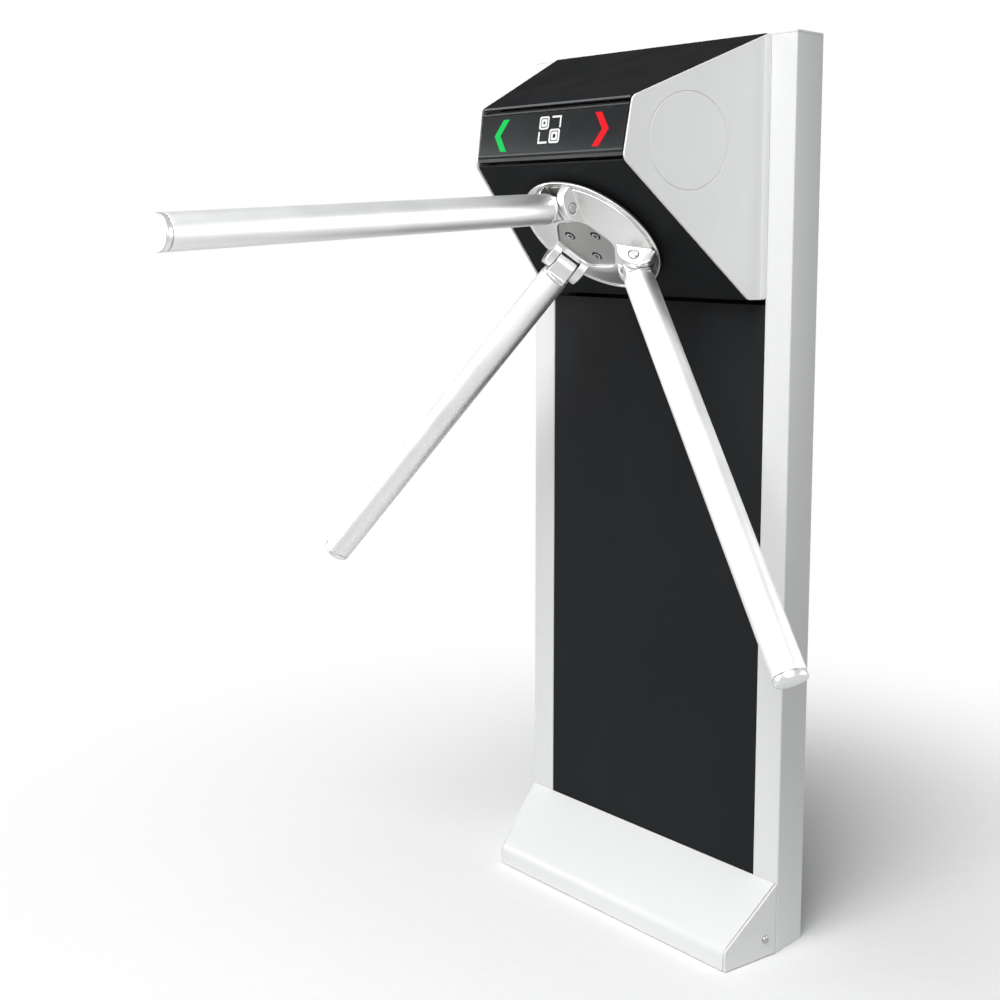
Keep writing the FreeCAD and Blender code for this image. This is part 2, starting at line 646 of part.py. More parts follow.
def mount_plate():
    """The thick plate behind the slanted face that holds the bearing and the locks."""
    def half(level):
        reach = (f"({CHIN_REACH} - {FACE_RUN} / 2 + ({level}) * sin(Dim.face_tilt * 1 deg)"
                 f" - Dim.mount_depth * cos(Dim.face_tilt * 1 deg))")
        return width_at(reach, f"({RIB_LOSS})")
    low, high = "(0 - 84)", "100"
    points = [(f"0 - {half(low)}", low), (half(low), low), (half(high), high),
              (f"0 - {half(high)}", high)]
    bore = (("0", "0"), "Dim.bearing_diameter / 2 + Dim.housing_wall + 0.1")
    pins = [(pawl_point(side), "Dim.pawl_pin / 2 + 0.03") for side in (-1, 1)]
    return plate("mount_plate", HUB, points, "Dim.mount_thick", "0 - Dim.mount_depth",
                 [bore] + pins, reverse=True)


def turned_point(angle, x, y):
    """A point of a frame turned about the hub's axis, in the hub's own x and y."""
    turn = f"(({angle}) * 1 deg)"
    return (f"(({x}) * cos{turn} - ({y}) * sin{turn})", f"(({x}) * sin{turn} + ({y}) * cos{turn})")


def pawl_point(side):
    """The pawl's pin in the hub's x and y."""
    return turned_point(f"{-side} * Dim.lock_angle", f"{side} * Dim.pawl_arm", PAWL_AXIS)


def bearing_housing():
    """The flanged sleeve that holds both bearings, with a shoulder between them."""
    bore = "Dim.bearing_diameter / 2"
    outer = f"({bore} + Dim.housing_wall)"
    seat = "(Dim.bearing_width + 1)"
    front, back = "(0 - 6)", "(0 - 48)"
    profile = [(bore, front), (outer, front), (outer, "0 - 19"), (f"{outer} + 11", "0 - 19"),
               (f"{outer} + 11", "0 - Dim.mount_depth"), (outer, "0 - Dim.mount_depth"),
               (outer, back), (bore, back), (bore, f"{back} + {seat}"),
               (f"{bore} - 4", f"{back} + {seat}"), (f"{bore} - 4", f"{front} - {seat}"),
               (bore, f"{front} - {seat}")]
    return turned("bearing_housing", HUB, profile)


def bearing(label, front):
    """A deep-groove bearing with a shield groove in both faces."""
    outer = "(Dim.bearing_diameter / 2 - 0.02)"
    inner = "(Dim.shaft_diameter / 2 + Dim.running_fit)"
    back = f"({front} - Dim.bearing_width)"
    profile = [(inner, back), (f"{inner} + 4", back), (f"{inner} + 4", f"{back} + 1"),
               (f"{outer} - 4", f"{back} + 1"), (f"{outer} - 4", back), (outer, back),
               (outer, front), (f"{outer} - 4", front), (f"{outer} - 4", f"{front} - 1"),
               (f"{inner} + 4", f"{front} - 1"), (f"{inner} + 4", front), (inner, front)]
    return turned(label, HUB, profile)


def damper_bridge():
    """A folded strap over the index wheel that carries the damper and the counter."""
    body = make_body("damper_bridge", HUB)
    sketch = make_sketch(body, "XZ_Plane")
    inner = "(Dim.wheel_radius + 7)"
    outer = f"({inner} + 3)"
    foot = "(0 - Dim.mount_depth - Dim.mount_thick)"
    level = "(0 - Dim.bridge_depth)"
    draw_polygon(sketch, [(outer, foot), (inner, foot), (inner, f"{level} + 3"),
                 (f"0 - {inner}", f"{level} + 3"), (f"0 - {inner}", foot),
                 (f"0 - {outer}", foot), (f"0 - {outer}", level), (outer, level)])
    extrude(body, "Pad", sketch, "36", middle=True)
    bore = (("0", "0"), "Dim.shaft_diameter / 4 + 1.5")
    cut_outlines(body, [], "6", f"{level} + 4", circles=[bore])
    return body


def rotary_damper():
    """The sealed damper that slows the hub, bored for the shaft's end."""
    radius = "Dim.damper_radius"
    front = "(0 - Dim.bridge_depth)"
    back = f"({front} - Dim.damper_length)"
    bore = "(Dim.shaft_diameter / 4 + Dim.running_fit)"
    profile = [(bore, front), (f"{radius} - 2", front), (radius, f"{front} - 2"),
               (radius, back), ("0", back), ("0", f"{back} + 4"), (bore, f"{back} + 4")]
    return turned("rotary_damper", HUB, profile)


def counter_sensor():
    """The slotted light gate that reads the counting disc."""
    body = make_body("counter_sensor", HUB)
    sketch = make_sketch(body, "YZ_Plane")
    top = "(3 - Dim.bridge_depth)"
    disc = "Dim.encoder_radius"
    draw_polygon(sketch, [(f"{disc} + 5", top), (f"{disc} - 6", top),
                 (f"{disc} - 6", f"{top} + 2"), (f"{disc} + 1", f"{top} + 2"),
                 (f"{disc} + 1", f"{top} + 6"), (f"{disc} - 6", f"{top} + 6"),
                 (f"{disc} - 6", f"{top} + 9"), (f"{disc} + 5", f"{top} + 9")])
    extrude(body, "Pad", sketch, "12", middle=True)
    return body


def pawl_pin(label, side):
    """The pin a lock pawl turns on, pressed in the mount plate."""
    body = make_body(label, HUB)
    sketch = make_sketch(body)
    draw_circle(sketch, pawl_point(side), "Dim.pawl_pin / 2")
    length = "(Dim.wheel_depth + 4 - Dim.mount_depth)"
    extrude(body, "Pad", sketch, length, "0 - Dim.mount_depth", reverse=True)
    return body


def lock_frame(side):
    """Frame of one lock: y is the hub's radius through the pawl's nose."""
    spun = f"placement(vector(0; 0; 0); rotation(vector(0; 0; 1); {-side} * Dim.lock_angle))"
    return f"{HUB} * {spun}"


def solenoid(label, side):
    """The lock's solenoid on the mount plate, bored for its plunger."""
    body = make_body(label, lock_frame(side))
    sketch = make_sketch(body, "XZ_Plane")
    half = "Dim.solenoid_width / 2"
    seat = "(0 - Dim.mount_depth - Dim.mount_thick)"
    centre = ("0", "0 - Dim.wheel_depth + Dim.wheel_thick / 2")
    low = f"({centre[1]} - {half})"
    draw_rectangle(sketch, f"0 - {half}", low, half, seat)
    draw_circle(sketch, centre, "4.1")
    extrude(body, "Pad", sketch, "Dim.solenoid_length", f"0 - ({PAWL_TOP} + 12)")
    body.Tip.Reversed = True
    return body


def controller_board():
    """The counter's electronics on the back plate, on four pillars."""
    body = make_body("controller_board", upright("(Dim.setback + Dim.panel_return + 1 - 3)"))
    level = "(Dim.height - 108)"
    base = make_sketch(body)
    draw_rectangle(base, "0 - 70", level, "70", f"{level} + 78")
    extrude(body, "Pad", base, "1.6", "8")
    posts = make_sketch(body)
    for x in (-64, 64):
        for rise in (6, 72):
            draw_circle(posts, (str(x), f"{level} + {rise}"), "3")
    extrude(body, "Pad", posts, "8")
    chips = make_sketch(body)
    for x0, y0, x1, y1 in ((-52, 20, -28, 44), (-16, 12, 6, 34), (18, 50, 50, 64), (20, 16, 44, 36)):
        draw_rectangle(chips, str(x0), f"{level} + {y0}", str(x1), f"{level} + {y1}")
    extrude(body, "Pad", chips, "5", "9.6")
    return body


def power_supply():
    """The boxed supply on the inside of the rear panel."""
    frame = upright(f"({REAR} - Dim.panel_sheet)")
    return plate("power_supply", frame, [("0 - 55", "300"), ("55", "300"), ("55", "430"),
                 ("0 - 55", "430")], "28")


# ---------------------------------------------------------------- mechanism, moving

def hub_shaft():
    """The flanged shaft that carries the disc, the index wheel and the counting disc."""
    radius = "Dim.shaft_diameter / 2"
    tail = "Dim.shaft_diameter / 4"
    front = "Dim.disc_gap"
    step = "(0 - Dim.wheel_depth - 6)"
    end = "(0 - Dim.bridge_depth - Dim.damper_length + 5)"
    body = turned("hub_shaft", HUB, [
        ("0", front), ("28", front), ("28", "0 - 3"), (radius, "0 - 3"), (radius, step),
        (tail, step), (tail, end), ("0", end)])
    cut_outlines(body, [], "6", front, circles=screw_holes("2.6"))
    return body


def screw_holes(radius):
    """The three hub screws' circles, halfway between the arms."""
    return [((f"Dim.screw_circle * sin({angle} deg)", f"Dim.screw_circle * cos({angle} deg)"),
             radius) for angle in (60, 180, 300)]


def index_wheel():
    """The wheel with evenly spaced notches that the pawls drop into."""
    body = make_body("index_wheel", HUB)
    sketch = make_sketch(body)
    draw_circle(sketch, ("0", "0"), "Dim.wheel_radius")
    draw_circle(sketch, ("0", "0"), "Dim.shaft_diameter / 2 + 0.02")
    extrude(body, "Pad", sketch, "Dim.wheel_thick", "0 - Dim.wheel_depth")
    half, floor = "Dim.notch_width / 2", "Dim.wheel_radius - Dim.notch_depth"
    corners = [(f"0 - {half}", floor), (half, floor), (f"{half} + 2", "Dim.wheel_radius + 2"),
               (f"0 - {half} - 2", "Dim.wheel_radius + 2")]
    count = round(number("Dim.notch_count"))
    outlines = [[turned_point(360 / count * index, x, y) for x, y in corners]
                for index in range(count)]
    cut_outlines(body, outlines, "Dim.wheel_thick + 2", "Dim.wheel_thick - Dim.wheel_depth + 1")
    return body


def counting_disc():
    """The thin slotted disc read by the light gate."""
    body = make_body("counting_disc", HUB)
    level = "(7.3 - Dim.bridge_depth)"
    sketch = make_sketch(body)
    draw_circle(sketch, ("0", "0"), "Dim.encoder_radius")
    draw_circle(sketch, ("0", "0"), "Dim.shaft_diameter / 4 + 0.02")
    extrude(body, "Pad", sketch, "1.4", level)
    outlines = []
    for index in range(12):
        corners = [("0 - 2", "Dim.encoder_radius - 7"), ("2", "Dim.encoder_radius - 7"),
                   ("2", "Dim.encoder_radius - 2"), ("0 - 2", "Dim.encoder_radius - 2")]
        outlines.append([turned_point(30 * index, x, y) for x, y in corners])
    cut_outlines(body, outlines, "4", f"{level} + 2")
    return body


def lock_pawl(label, side):
    """The lever that drops its nose into a notch and stops the wheel."""
    body = make_body(label, lock_frame(side))
    sketch = make_sketch(body)
    nose, top = PAWL_NOSE, PAWL_TOP

    def at(x, y):
        return (f"{side} * ({x})", y)
    arm = "Dim.pawl_arm"
    points = [at("0 - 8", nose), at("0", nose), at("3", f"{nose} + 9"),
              at(f"{arm} - 4", f"{nose} + 9"), at(f"{arm} + 8", f"{nose} + 12"),
              at(f"{arm} + 9", f"{top} - 2"), at(f"{arm} + 5", top), at("0 - 9", top),
              at("0 - 9", f"{nose} + 9")]
    draw_polygon(sketch, points)
    draw_circle(sketch, at(arm, PAWL_AXIS), "Dim.pawl_pin / 2 + Dim.running_fit")
    extrude(body, "Pad", sketch, "Dim.wheel_thick", "0 - Dim.wheel_depth")
    return body


def plunger(label, side):
    """The solenoid's rod, which pushes the pawl inward."""
    body = make_body(label, lock_frame(side))
    sketch = make_sketch(body, "XZ_Plane")
    draw_circle(sketch, ("0", "0 - Dim.wheel_depth + Dim.wheel_thick / 2"), "4")
    extrude(body, "Pad", sketch, "36", f"0 - ({PAWL_TOP} + 0.4)")
    body.Tip.Reversed = True
    return body


# ---------------------------------------------------------------- hub and arms

def hub_disc():
    """The turned metal disc against the slanted face, with a raised rim."""
    radius, back, face = DISC_RADIUS, "Dim.disc_gap", DISC_FACE
    profile = [("0", back), (f"{radius} - 1", back), (radius, f"{back} + 1"),
               (radius, f"{face} - 1.2"), (f"{radius} - 1.2", face), (f"{radius} - 5", face),
               (f"{radius} - 6", f"{face} - 1"), ("0", f"{face} - 1")]
    body = turned("hub_disc", HUB, profile)
    cut_outlines(body, [], "Dim.disc_thick + 2", f"{face} + 1", circles=screw_holes("2.6"))
    return body


def hub_casting():
    """The three-forked casting: a shallow cone, three pairs of ears and a recessed middle."""
    body = make_body("hub_casting", HUB)
    base = f"({DISC_FACE} - 1)"
    sketch = make_sketch(body, "YZ_Plane")
    draw_polygon(sketch, [("0", base), (f"{DISC_RADIUS} - 6.5", base),
                 (f"{DISC_RADIUS} - 6.5", f"{base} + 1.5"), ("40", f"{base} + 13"),
                 ("0", f"{base} + 13")])
    cone = body.newObject("PartDesign::Revolution", "hub_casting_revolution")
    cone.Profile = sketch
    cone.ReferenceAxis = (sketch, ["V_Axis"])
    cone.Angle = 360
    doc.recompute()
    ears = make_sketch(body, "YZ_Plane")
    ear_outline(ears, base)
    pads = extrude(body, "Pad", ears, f"2 * {EAR_OUTER}", middle=True)
    doc.recompute()
    slot = make_sketch(body, "YZ_Plane")
    reach = "(Dim.pivot_radius - Dim.slot_reach)"
    brow = "(Dim.pivot_radius - Dim.ear_radius - 0.5)"
    far = "(Dim.pivot_radius + Dim.ear_radius + 4)"
    above = "(Dim.pivot_standoff + Dim.ear_radius + 4)"
    draw_polygon(slot, [(reach, f"{base} + 1"), (far, f"{base} + 1"), (far, above),
                        (brow, above), (brow, f"{base} + 12"), (reach, f"{base} + 12")])
    gap = extrude(body, "Pocket", slot, f"2 * {EAR_INNER}", middle=True)
    bore = make_sketch(body, "YZ_Plane")
    draw_circle(bore, ("Dim.pivot_radius", "Dim.pivot_standoff"),
                "Dim.pin_diameter / 2 + Dim.running_fit")
    hole = extrude(body, "Pocket", bore, f"2 * {EAR_OUTER} + 2", middle=True)
    spin_copies(body, [pads, gap, hole], 3)
    doc.recompute()
    step = make_sketch(body, "YZ_Plane")
    draw_polygon(step, [(f"{DISC_RADIUS} - 6.5", f"{base} - 1"),
                        (f"{DISC_RADIUS} + 10", f"{base} - 1"), (f"{DISC_RADIUS} + 10", above),
                        (f"{DISC_RADIUS} - 1.5", above), (f"{DISC_RADIUS} - 1.5", f"{base} + 1.5"),
                        (f"{DISC_RADIUS} - 6.5", f"{base} + 1.5")])
    clearance = body.newObject("PartDesign::Groove", "hub_casting_step")
    clearance.Profile = step
    clearance.ReferenceAxis = (step, ["V_Axis"])
    clearance.Angle = 360
    doc.recompute()
    corners = []
    for angle in (60, 180, 300):
        for offset in ("(0 - Dim.recess_half)", "Dim.recess_half"):
            corners.append((f"Dim.recess_reach * sin({angle} deg) + {offset} * cos({angle} deg)",
                            f"Dim.recess_reach * cos({angle} deg) - {offset} * sin({angle} deg)"))
    cut_outlines(body, [corners], "Dim.recess_depth", f"{base} + 13")
    cut_outlines(body, [], "8", f"{base} + 13", circles=screw_holes("Dim.screw_well"))
    cut_outlines(body, [], "30", f"{base} + 14", circles=screw_holes("2.6"))
    return body


def ear_outline(sketch, base):
    """The side view of an ear: a wide foot on the disc and a low round top over the pin."""
    middle = "(Dim.pivot_standoff - Dim.ear_drop)"
    centre = (number("Dim.pivot_radius"), number(middle))
    radius = number("Dim.ear_radius")
    level = number(base)
    left, right = centre[0] - radius, centre[0] + radius
    vector = FreeCAD.Vector
    lines = [((left, level), (right, level)), ((right, level), (right, centre[1])),
             ((left, centre[1]), (left, level))]
    for start, end in lines:
        sketch.addGeometry(Part.LineSegment(vector(*start, 0), vector(*end, 0)))
    circle = Part.Circle(vector(*centre, 0), vector(0, 0, 1), radius)
    sketch.addGeometry(Part.ArcOfCircle(circle, 0, math.pi))
    joins = [(0, 2, 1, 1), (1, 2, 3, 1), (3, 2, 2, 1), (2, 2, 0, 1)]
    for first, first_end, second, second_end in joins:
        sketch.addConstraint(Sketcher.Constraint(
            "Coincident", first, first_end, second, second_end))
    pin_point(sketch, 3, 3, ("Dim.pivot_radius", middle))
    pin_point(sketch, 0, 1, ("Dim.pivot_radius - Dim.ear_radius", base))
    pin_point(sketch, 1, 1, ("Dim.pivot_radius + Dim.ear_radius", base))
    bound = sketch.addConstraint(Sketcher.Constraint("Radius", 3, radius))
    sketch.setExpression(f"Constraints[{bound}]", "Dim.ear_radius")
    for line, end in ((1, 2), (2, 1)):
        index = sketch.addConstraint(
            Sketcher.Constraint("DistanceY", -1, 1, line, end, centre[1]))
        sketch.setExpression(f"Constraints[{index}]", middle)


def hub_screws():
    """Three socket screws that hold the casting and disc to the shaft."""
    body = make_body("hub_screws", HUB)
    floor = f"({DISC_FACE} + 4)"
    heads = make_sketch(body)
    for centre, radius in screw_holes("4.5"):
        draw_circle(heads, centre, radius)
    extrude(body, "Pad", heads, "5", floor)
    stems = make_sketch(body)
    for centre, radius in screw_holes("2.5"):
        draw_circle(stems, centre, radius)
    extrude(body, "Pad", stems, f"{floor} - Dim.disc_gap + 2.5", floor, reverse=True)
    sockets = [hexagon(centre, "2.6") for centre, radius in screw_holes("1")]
    cut_outlines(body, sockets, "3", f"{floor} + 5")
    return body


def hinge_pin(label, turn):
    """An arm's hinge pin with a flat head on each side of the fork."""
    body = make_body(label, arm_frame(turn))
    half = f"({EAR_OUTER} + 0.2)"
    for radius, length, offset in (("Dim.pin_diameter / 2", f"2 * {half}", f"0 - {half}"),
                                   ("Dim.pin_diameter * 0.6", "1.2", half),
                                   ("Dim.pin_diameter * 0.6", "1.2", f"0 - {half} - 1.2")):
        sketch = make_sketch(body, "YZ_Plane")
        draw_circle(sketch, ("0", "0"), radius)
        extrude(body, "Pad", sketch, length, offset)
    cap = number(f"{half} + 1.2")
    dress(body, "Chamfer", "0.5",
          lambda edge: edge.Closed and abs(abs(edge.Vertexes[0].Point.x) - cap) < 0.01)
    return body


def arm_tongue(label, turn):
    """The arm's forged end: a rounded tongue in the fork, a collar and a plug for the tube."""
    body = make_body(label, arm_frame(turn))
    radius = "Dim.tongue_radius"
    collar = "(Dim.tube_diameter / 2)"
    plug = "(Dim.tube_diameter / 2 - Dim.tube_wall - 0.05)"
    round_end = make_sketch(body, "YZ_Plane")
    draw_circle(round_end, ("0", "0"), radius)
    extrude(body, "Pad", round_end, "Dim.tongue_width", middle=True)
    neck = make_sketch(body, "YZ_Plane")
    draw_rectangle(neck, f"0 - {radius}", "0", radius, "Dim.neck_length")
    extrude(body, "Pad", neck, "Dim.tongue_width", middle=True)
    for bound, length, level in ((collar, "4", "Dim.neck_length - 4"),
                                 (plug, "Dim.plug_length", "Dim.neck_length")):
        sketch = make_sketch(body)
        draw_circle(sketch, ("0", "0"), bound)
        extrude(body, "Pad", sketch, length, level)
    doc.recompute()
    before = body.Shape.Volume
    bore = make_sketch(body, "YZ_Plane")
    draw_circle(bore, ("0", "0"), "Dim.pin_diameter / 2 + Dim.running_fit")
    extrude(body, "Pocket", bore, "Dim.tongue_width + 2", middle=True)
    doc.recompute()
    if not body.Shape.Volume < before:
        raise ValueError(f"{label}: the pin hole cuts nothing")
    return body


def arm_tube(label, turn):
    """The polished steel tube of an arm."""
    body = make_body(label, arm_frame(turn))
    sketch = make_sketch(body)
    draw_circle(sketch, ("0", "0"), "Dim.tube_diameter / 2")
    draw_circle(sketch, ("0", "0"), "Dim.tube_diameter / 2 - Dim.tube_wall")
    length = "Dim.arm_length - Dim.cap_length - Dim.neck_length"
    extrude(body, "Pad", sketch, length, "Dim.neck_length")
    return body


def arm_cap(label, turn):
    """The low domed cap in the free end of an arm's tube."""
    body = make_body(label, arm_frame(turn))
    seat = "(Dim.arm_length - Dim.cap_length)"
    rim = make_sketch(body)
    draw_circle(rim, ("0", "0"), "Dim.tube_diameter / 2")
    extrude(body, "Pad", rim, "Dim.cap_length", seat)
    plug = make_sketch(body)
    draw_circle(plug, ("0", "0"), "Dim.tube_diameter / 2 - Dim.tube_wall - 0.05")
    extrude(body, "Pad", plug, "15", seat, reverse=True)
    top = number("Dim.arm_length")
    dress(body, "Fillet", "Dim.cap_length * 0.6",
          lambda edge: edge.Closed and abs(edge.Vertexes[0].Point.z - top) < 0.01)
    return body


def build():
    """Makes every sub-part, in assembly order."""
    parts = [base_plate()]
    parts += [column_post(f"{name}_post", side) for name, side in SIDES]
    parts.append(cross_rail("lower_rail", "Dim.lower_rail_level"))
    for name in ("head", "upper"):
        parts.append(cross_rail(f"{name}_rail", f"(Dim.height - Dim.{name}_rail_drop)"))
    parts.append(top_cap())
    floor = "Dim.rear_panel_floor"
    parts.append(panel_pan("front_panel", "Dim.setback", 1, floor, f"{THROAT_LEVEL} - 6"))
    parts.append(panel_pan("rear_panel", REAR, -1, floor, "Dim.height - Dim.cap_thick"))
    parts.append(power_supply())
    parts += [pair("cover_brackets", cover_bracket), foot_cover()]
    parts += [cover_end(f"cover_end_{name}", side) for name, side in SIDES]
    parts.append(pair("cover_screws", cover_screw))
    parts.append(head_back_plate())
    parts += [head_rib(f"head_rib_{name}", side) for name, side in SIDES]
    parts += [head_side(f"head_side_{name}", side) for name, side in SIDES]
    parts += [pair("reader_antennas", reader_antenna), controller_board()]
    parts += [head_top_cover(), display_bezel(), display_window(), arrow("pass_arrow", -1),
              arrow("stop_arrow", 1), reader_card(), display_board(), head_lower_cover(),
              head_bottom_plate()]
    parts += [mount_plate(), bearing_housing(),
              group("bearings", [bearing("front_bearing", "(0 - 6)"),
                                 bearing("rear_bearing", "(Dim.bearing_width - 48)")]),
              damper_bridge(), rotary_damper(), counter_sensor(),
              pair("pawl_pins", pawl_pin), pair("lock_solenoids", solenoid)]
    for name, side in SIDES:
        parts += [lock_pawl(f"lock_pawl_{name}", side), plunger(f"plunger_{name}", side)]
    parts += [hub_shaft(), index_wheel(), counting_disc(), hub_disc(), hub_casting(),
              hub_screws()]
    arms = list(enumerate((0, 120, 240), 1))
    parts.append(group("hinge_pins", [hinge_pin(f"hinge_pin_{i}", turn) for i, turn in arms]))
    for index, turn in arms:
        parts += [arm_tongue(f"arm_tongue_{index}", turn), arm_tube(f"arm_tube_{index}", turn),
                  arm_cap(f"arm_cap_{index}", turn)]
    return parts


def write(parts):
    """Checks the whole document, then writes one STEP file for each sub-part."""
    doc.recompute()
    for item in doc.Objects:
        if "Invalid" in item.State or "Error" in item.State:
            raise ValueError(f"{item.Name} is {item.State}")
    for part in parts:
        if part.Shape.isNull() or not part.Shape.isValid():
            raise ValueError(f"{part.Label} has no valid shape")
    os.makedirs("parts", exist_ok=True)
    for part in parts:
        part.Shape.exportStep(f"parts/{part.Label}.step")


write(build())
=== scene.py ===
import json
import math

import bmesh
import bpy
import numpy as np
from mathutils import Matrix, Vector


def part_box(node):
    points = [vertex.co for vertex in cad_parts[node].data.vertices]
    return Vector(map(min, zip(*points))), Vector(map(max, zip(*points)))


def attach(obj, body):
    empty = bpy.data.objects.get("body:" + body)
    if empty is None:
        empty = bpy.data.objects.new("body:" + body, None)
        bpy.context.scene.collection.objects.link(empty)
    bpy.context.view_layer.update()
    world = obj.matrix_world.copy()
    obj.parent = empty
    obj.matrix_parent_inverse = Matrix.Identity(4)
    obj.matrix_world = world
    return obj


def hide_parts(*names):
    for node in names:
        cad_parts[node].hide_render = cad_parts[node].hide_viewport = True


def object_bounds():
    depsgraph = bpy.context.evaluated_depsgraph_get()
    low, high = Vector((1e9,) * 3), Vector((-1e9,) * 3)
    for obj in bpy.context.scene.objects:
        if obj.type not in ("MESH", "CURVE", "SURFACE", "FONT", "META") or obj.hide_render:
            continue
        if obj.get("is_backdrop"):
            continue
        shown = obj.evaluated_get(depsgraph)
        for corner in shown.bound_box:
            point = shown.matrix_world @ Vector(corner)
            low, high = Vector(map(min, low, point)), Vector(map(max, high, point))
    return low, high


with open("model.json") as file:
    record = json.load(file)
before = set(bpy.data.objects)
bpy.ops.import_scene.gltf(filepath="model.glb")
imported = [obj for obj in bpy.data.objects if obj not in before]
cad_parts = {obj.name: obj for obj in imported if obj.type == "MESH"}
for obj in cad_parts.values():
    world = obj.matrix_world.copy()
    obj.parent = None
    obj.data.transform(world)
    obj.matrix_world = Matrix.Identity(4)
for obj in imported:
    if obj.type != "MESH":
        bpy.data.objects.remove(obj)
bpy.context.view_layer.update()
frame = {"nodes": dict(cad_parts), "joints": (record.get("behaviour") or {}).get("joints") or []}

# Turnstile with three arms on a slanted head: metres, floor at z = 0, arms towards -Y.
scene = bpy.context.scene
scene.view_settings.view_transform = "Standard"

# ---------------------------------------------------------------- camera
# Stands in front and to the visitor's right of the head, a little above its middle,
# and looks slightly down; the lens is shifted so that the foot stays in the picture.
eye = bpy.data.cameras.new("eye")
eye.sensor_width = 36
eye.lens = 47.76
eye.shift_y = -0.1254
camera = bpy.data.objects.new("eye", eye)
camera.location = (1.01195, -1.20115, 0.81822)
camera.rotation_euler = (math.radians(83.8), 0, math.radians(46.33))
scene.collection.objects.link(camera)
scene.camera = camera

# ---------------------------------------------------------------- studio
# A pale floor that fades into the bright surroundings, one broad soft light in front of
# the turnstile, a weak one at its left, and three cards that only the metal mirrors.


def node(tree, kind, inputs=None, **settings):
    """Adds a shader node: inputs maps a socket to a value or to another node's output."""
    made = tree.nodes.new("ShaderNode" + kind)
    for key, value in settings.items():
        setattr(made, key, value)
    for key, value in (inputs or {}).items():
        if isinstance(value, bpy.types.NodeSocket):
            tree.links.new(value, made.inputs[key])
        else:
            made.inputs[key].default_value = value
    return made


def surface(name, points, closed=(False, False), crease=35, caps=False):
    """A mesh on a grid of points (rows, columns, 3): one quad between each four neighbours,
    joined back to the start in a closed direction. The UV map holds metres: u is the mean
    distance travelled along the rows, v the mean distance travelled down the columns."""
    rows, columns = points.shape[:2]
    down = np.arange(rows - (not closed[0]))
    across = np.arange(columns - (not closed[1]))
    i, j = (index.ravel() for index in np.meshgrid(down, across, indexing="ij"))
    corner_i = np.stack([i, i + 1, i + 1, i], 1)
    corner_j = np.stack([j, j, j + 1, j + 1], 1)
    faces = corner_i % rows * columns + corner_j % columns
    mesh = bpy.data.meshes.new(name)
    mesh.from_pydata(points.reshape(-1, 3).tolist(), [], faces.tolist())
    step_v = np.linalg.norm(np.roll(points, -1, 0) - points, axis=2).mean(1)
    step_u = np.linalg.norm(np.roll(points, -1, 1) - points, axis=2).mean(0)
    along_v = np.concatenate([[0], np.cumsum(step_v)])
    along_u = np.concatenate([[0], np.cumsum(step_u)])
    uv = np.stack([along_u[corner_j], along_v[corner_i]], -1)
    mesh.uv_layers.new(name="along").data.foreach_set("uv", uv.ravel())
    work = bmesh.new()
    work.from_mesh(mesh)
    bmesh.ops.remove_doubles(work, verts=work.verts, dist=1e-7)
    if caps:
        rims = [edge for edge in work.edges if edge.is_boundary]
        bmesh.ops.holes_fill(work, edges=rims, sides=0)
    bmesh.ops.recalc_face_normals(work, faces=work.faces)
    work.to_mesh(mesh)
    work.free()
    mesh.shade_smooth()
    mesh.set_sharp_from_angle(angle=math.radians(crease))
    piece = bpy.data.objects.new(name, mesh)
    scene.collection.objects.link(piece)
    return piece


# How bright the surroundings are to paint, and what the metal mirrors of floor and room.
paint_level, floor_mirrored, room_mirrored = 0.29, 0.6, 0.56

reach = np.concatenate([np.linspace(0.02, 3, 40), np.linspace(3.3, 12, 20)])
turn = np.linspace(0, 2 * np.pi, 96, endpoint=False)
rings = np.stack([np.outer(reach, np.cos(turn)), np.outer(reach, np.sin(turn)),
                  np.zeros((len(reach), len(turn)))], -1)
floor = surface("floor", rings, closed=(False, True))
floor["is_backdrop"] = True

paper = bpy.data.materials.new("pale_floor")
paper.use_nodes = True
tree = paper.node_tree
matte = tree.nodes["Principled BSDF"]
place = node(tree, "TexCoord")
fibre = node(tree, "TexNoise", {"Vector": place.outputs["Object"], "Scale": 60.0, "Detail": 4.0})
tone = node(tree, "MapRange", {"Value": fibre.outputs["Fac"], "To Min": 0.88, "To Max": 0.92})
flat = node(tree, "CombineColor", {0: tone.outputs[0], 1: tone.outputs[0], 2: tone.outputs[0]})
tree.links.new(flat.outputs[0], matte.inputs["Base Color"])
matte.inputs["Roughness"].default_value = 0.9
matte.inputs["Specular IOR Level"].default_value = 0.1
away = node(tree, "VectorMath", {0: place.outputs["Object"]}, operation="LENGTH")
fade = node(tree, "MapRange", {"Value": away.outputs["Value"], "From Min": 0.2, "From Max": 1.1},
            interpolation_type="SMOOTHSTEP")
direct = node(tree, "LightPath")
mirrored = node(tree, "MapRange", {"Value": direct.outputs["Is Glossy Ray"],
                                   "To Min": paint_level, "To Max": floor_mirrored})
level = node(tree, "Mix", {0: direct.outputs["Is Camera Ray"], 2: mirrored.outputs[0], 3: 1.0})
glow = node(tree, "Emission", {"Color": (1, 1, 1, 1), "Strength": level.outputs[0]})
both = node(tree, "MixShader", {0: fade.outputs[0], 1: matte.outputs[0], 2: glow.outputs[0]})
tree.links.new(both.outputs[0], tree.nodes["Material Output"].inputs["Surface"])
floor.data.materials.append(paper)

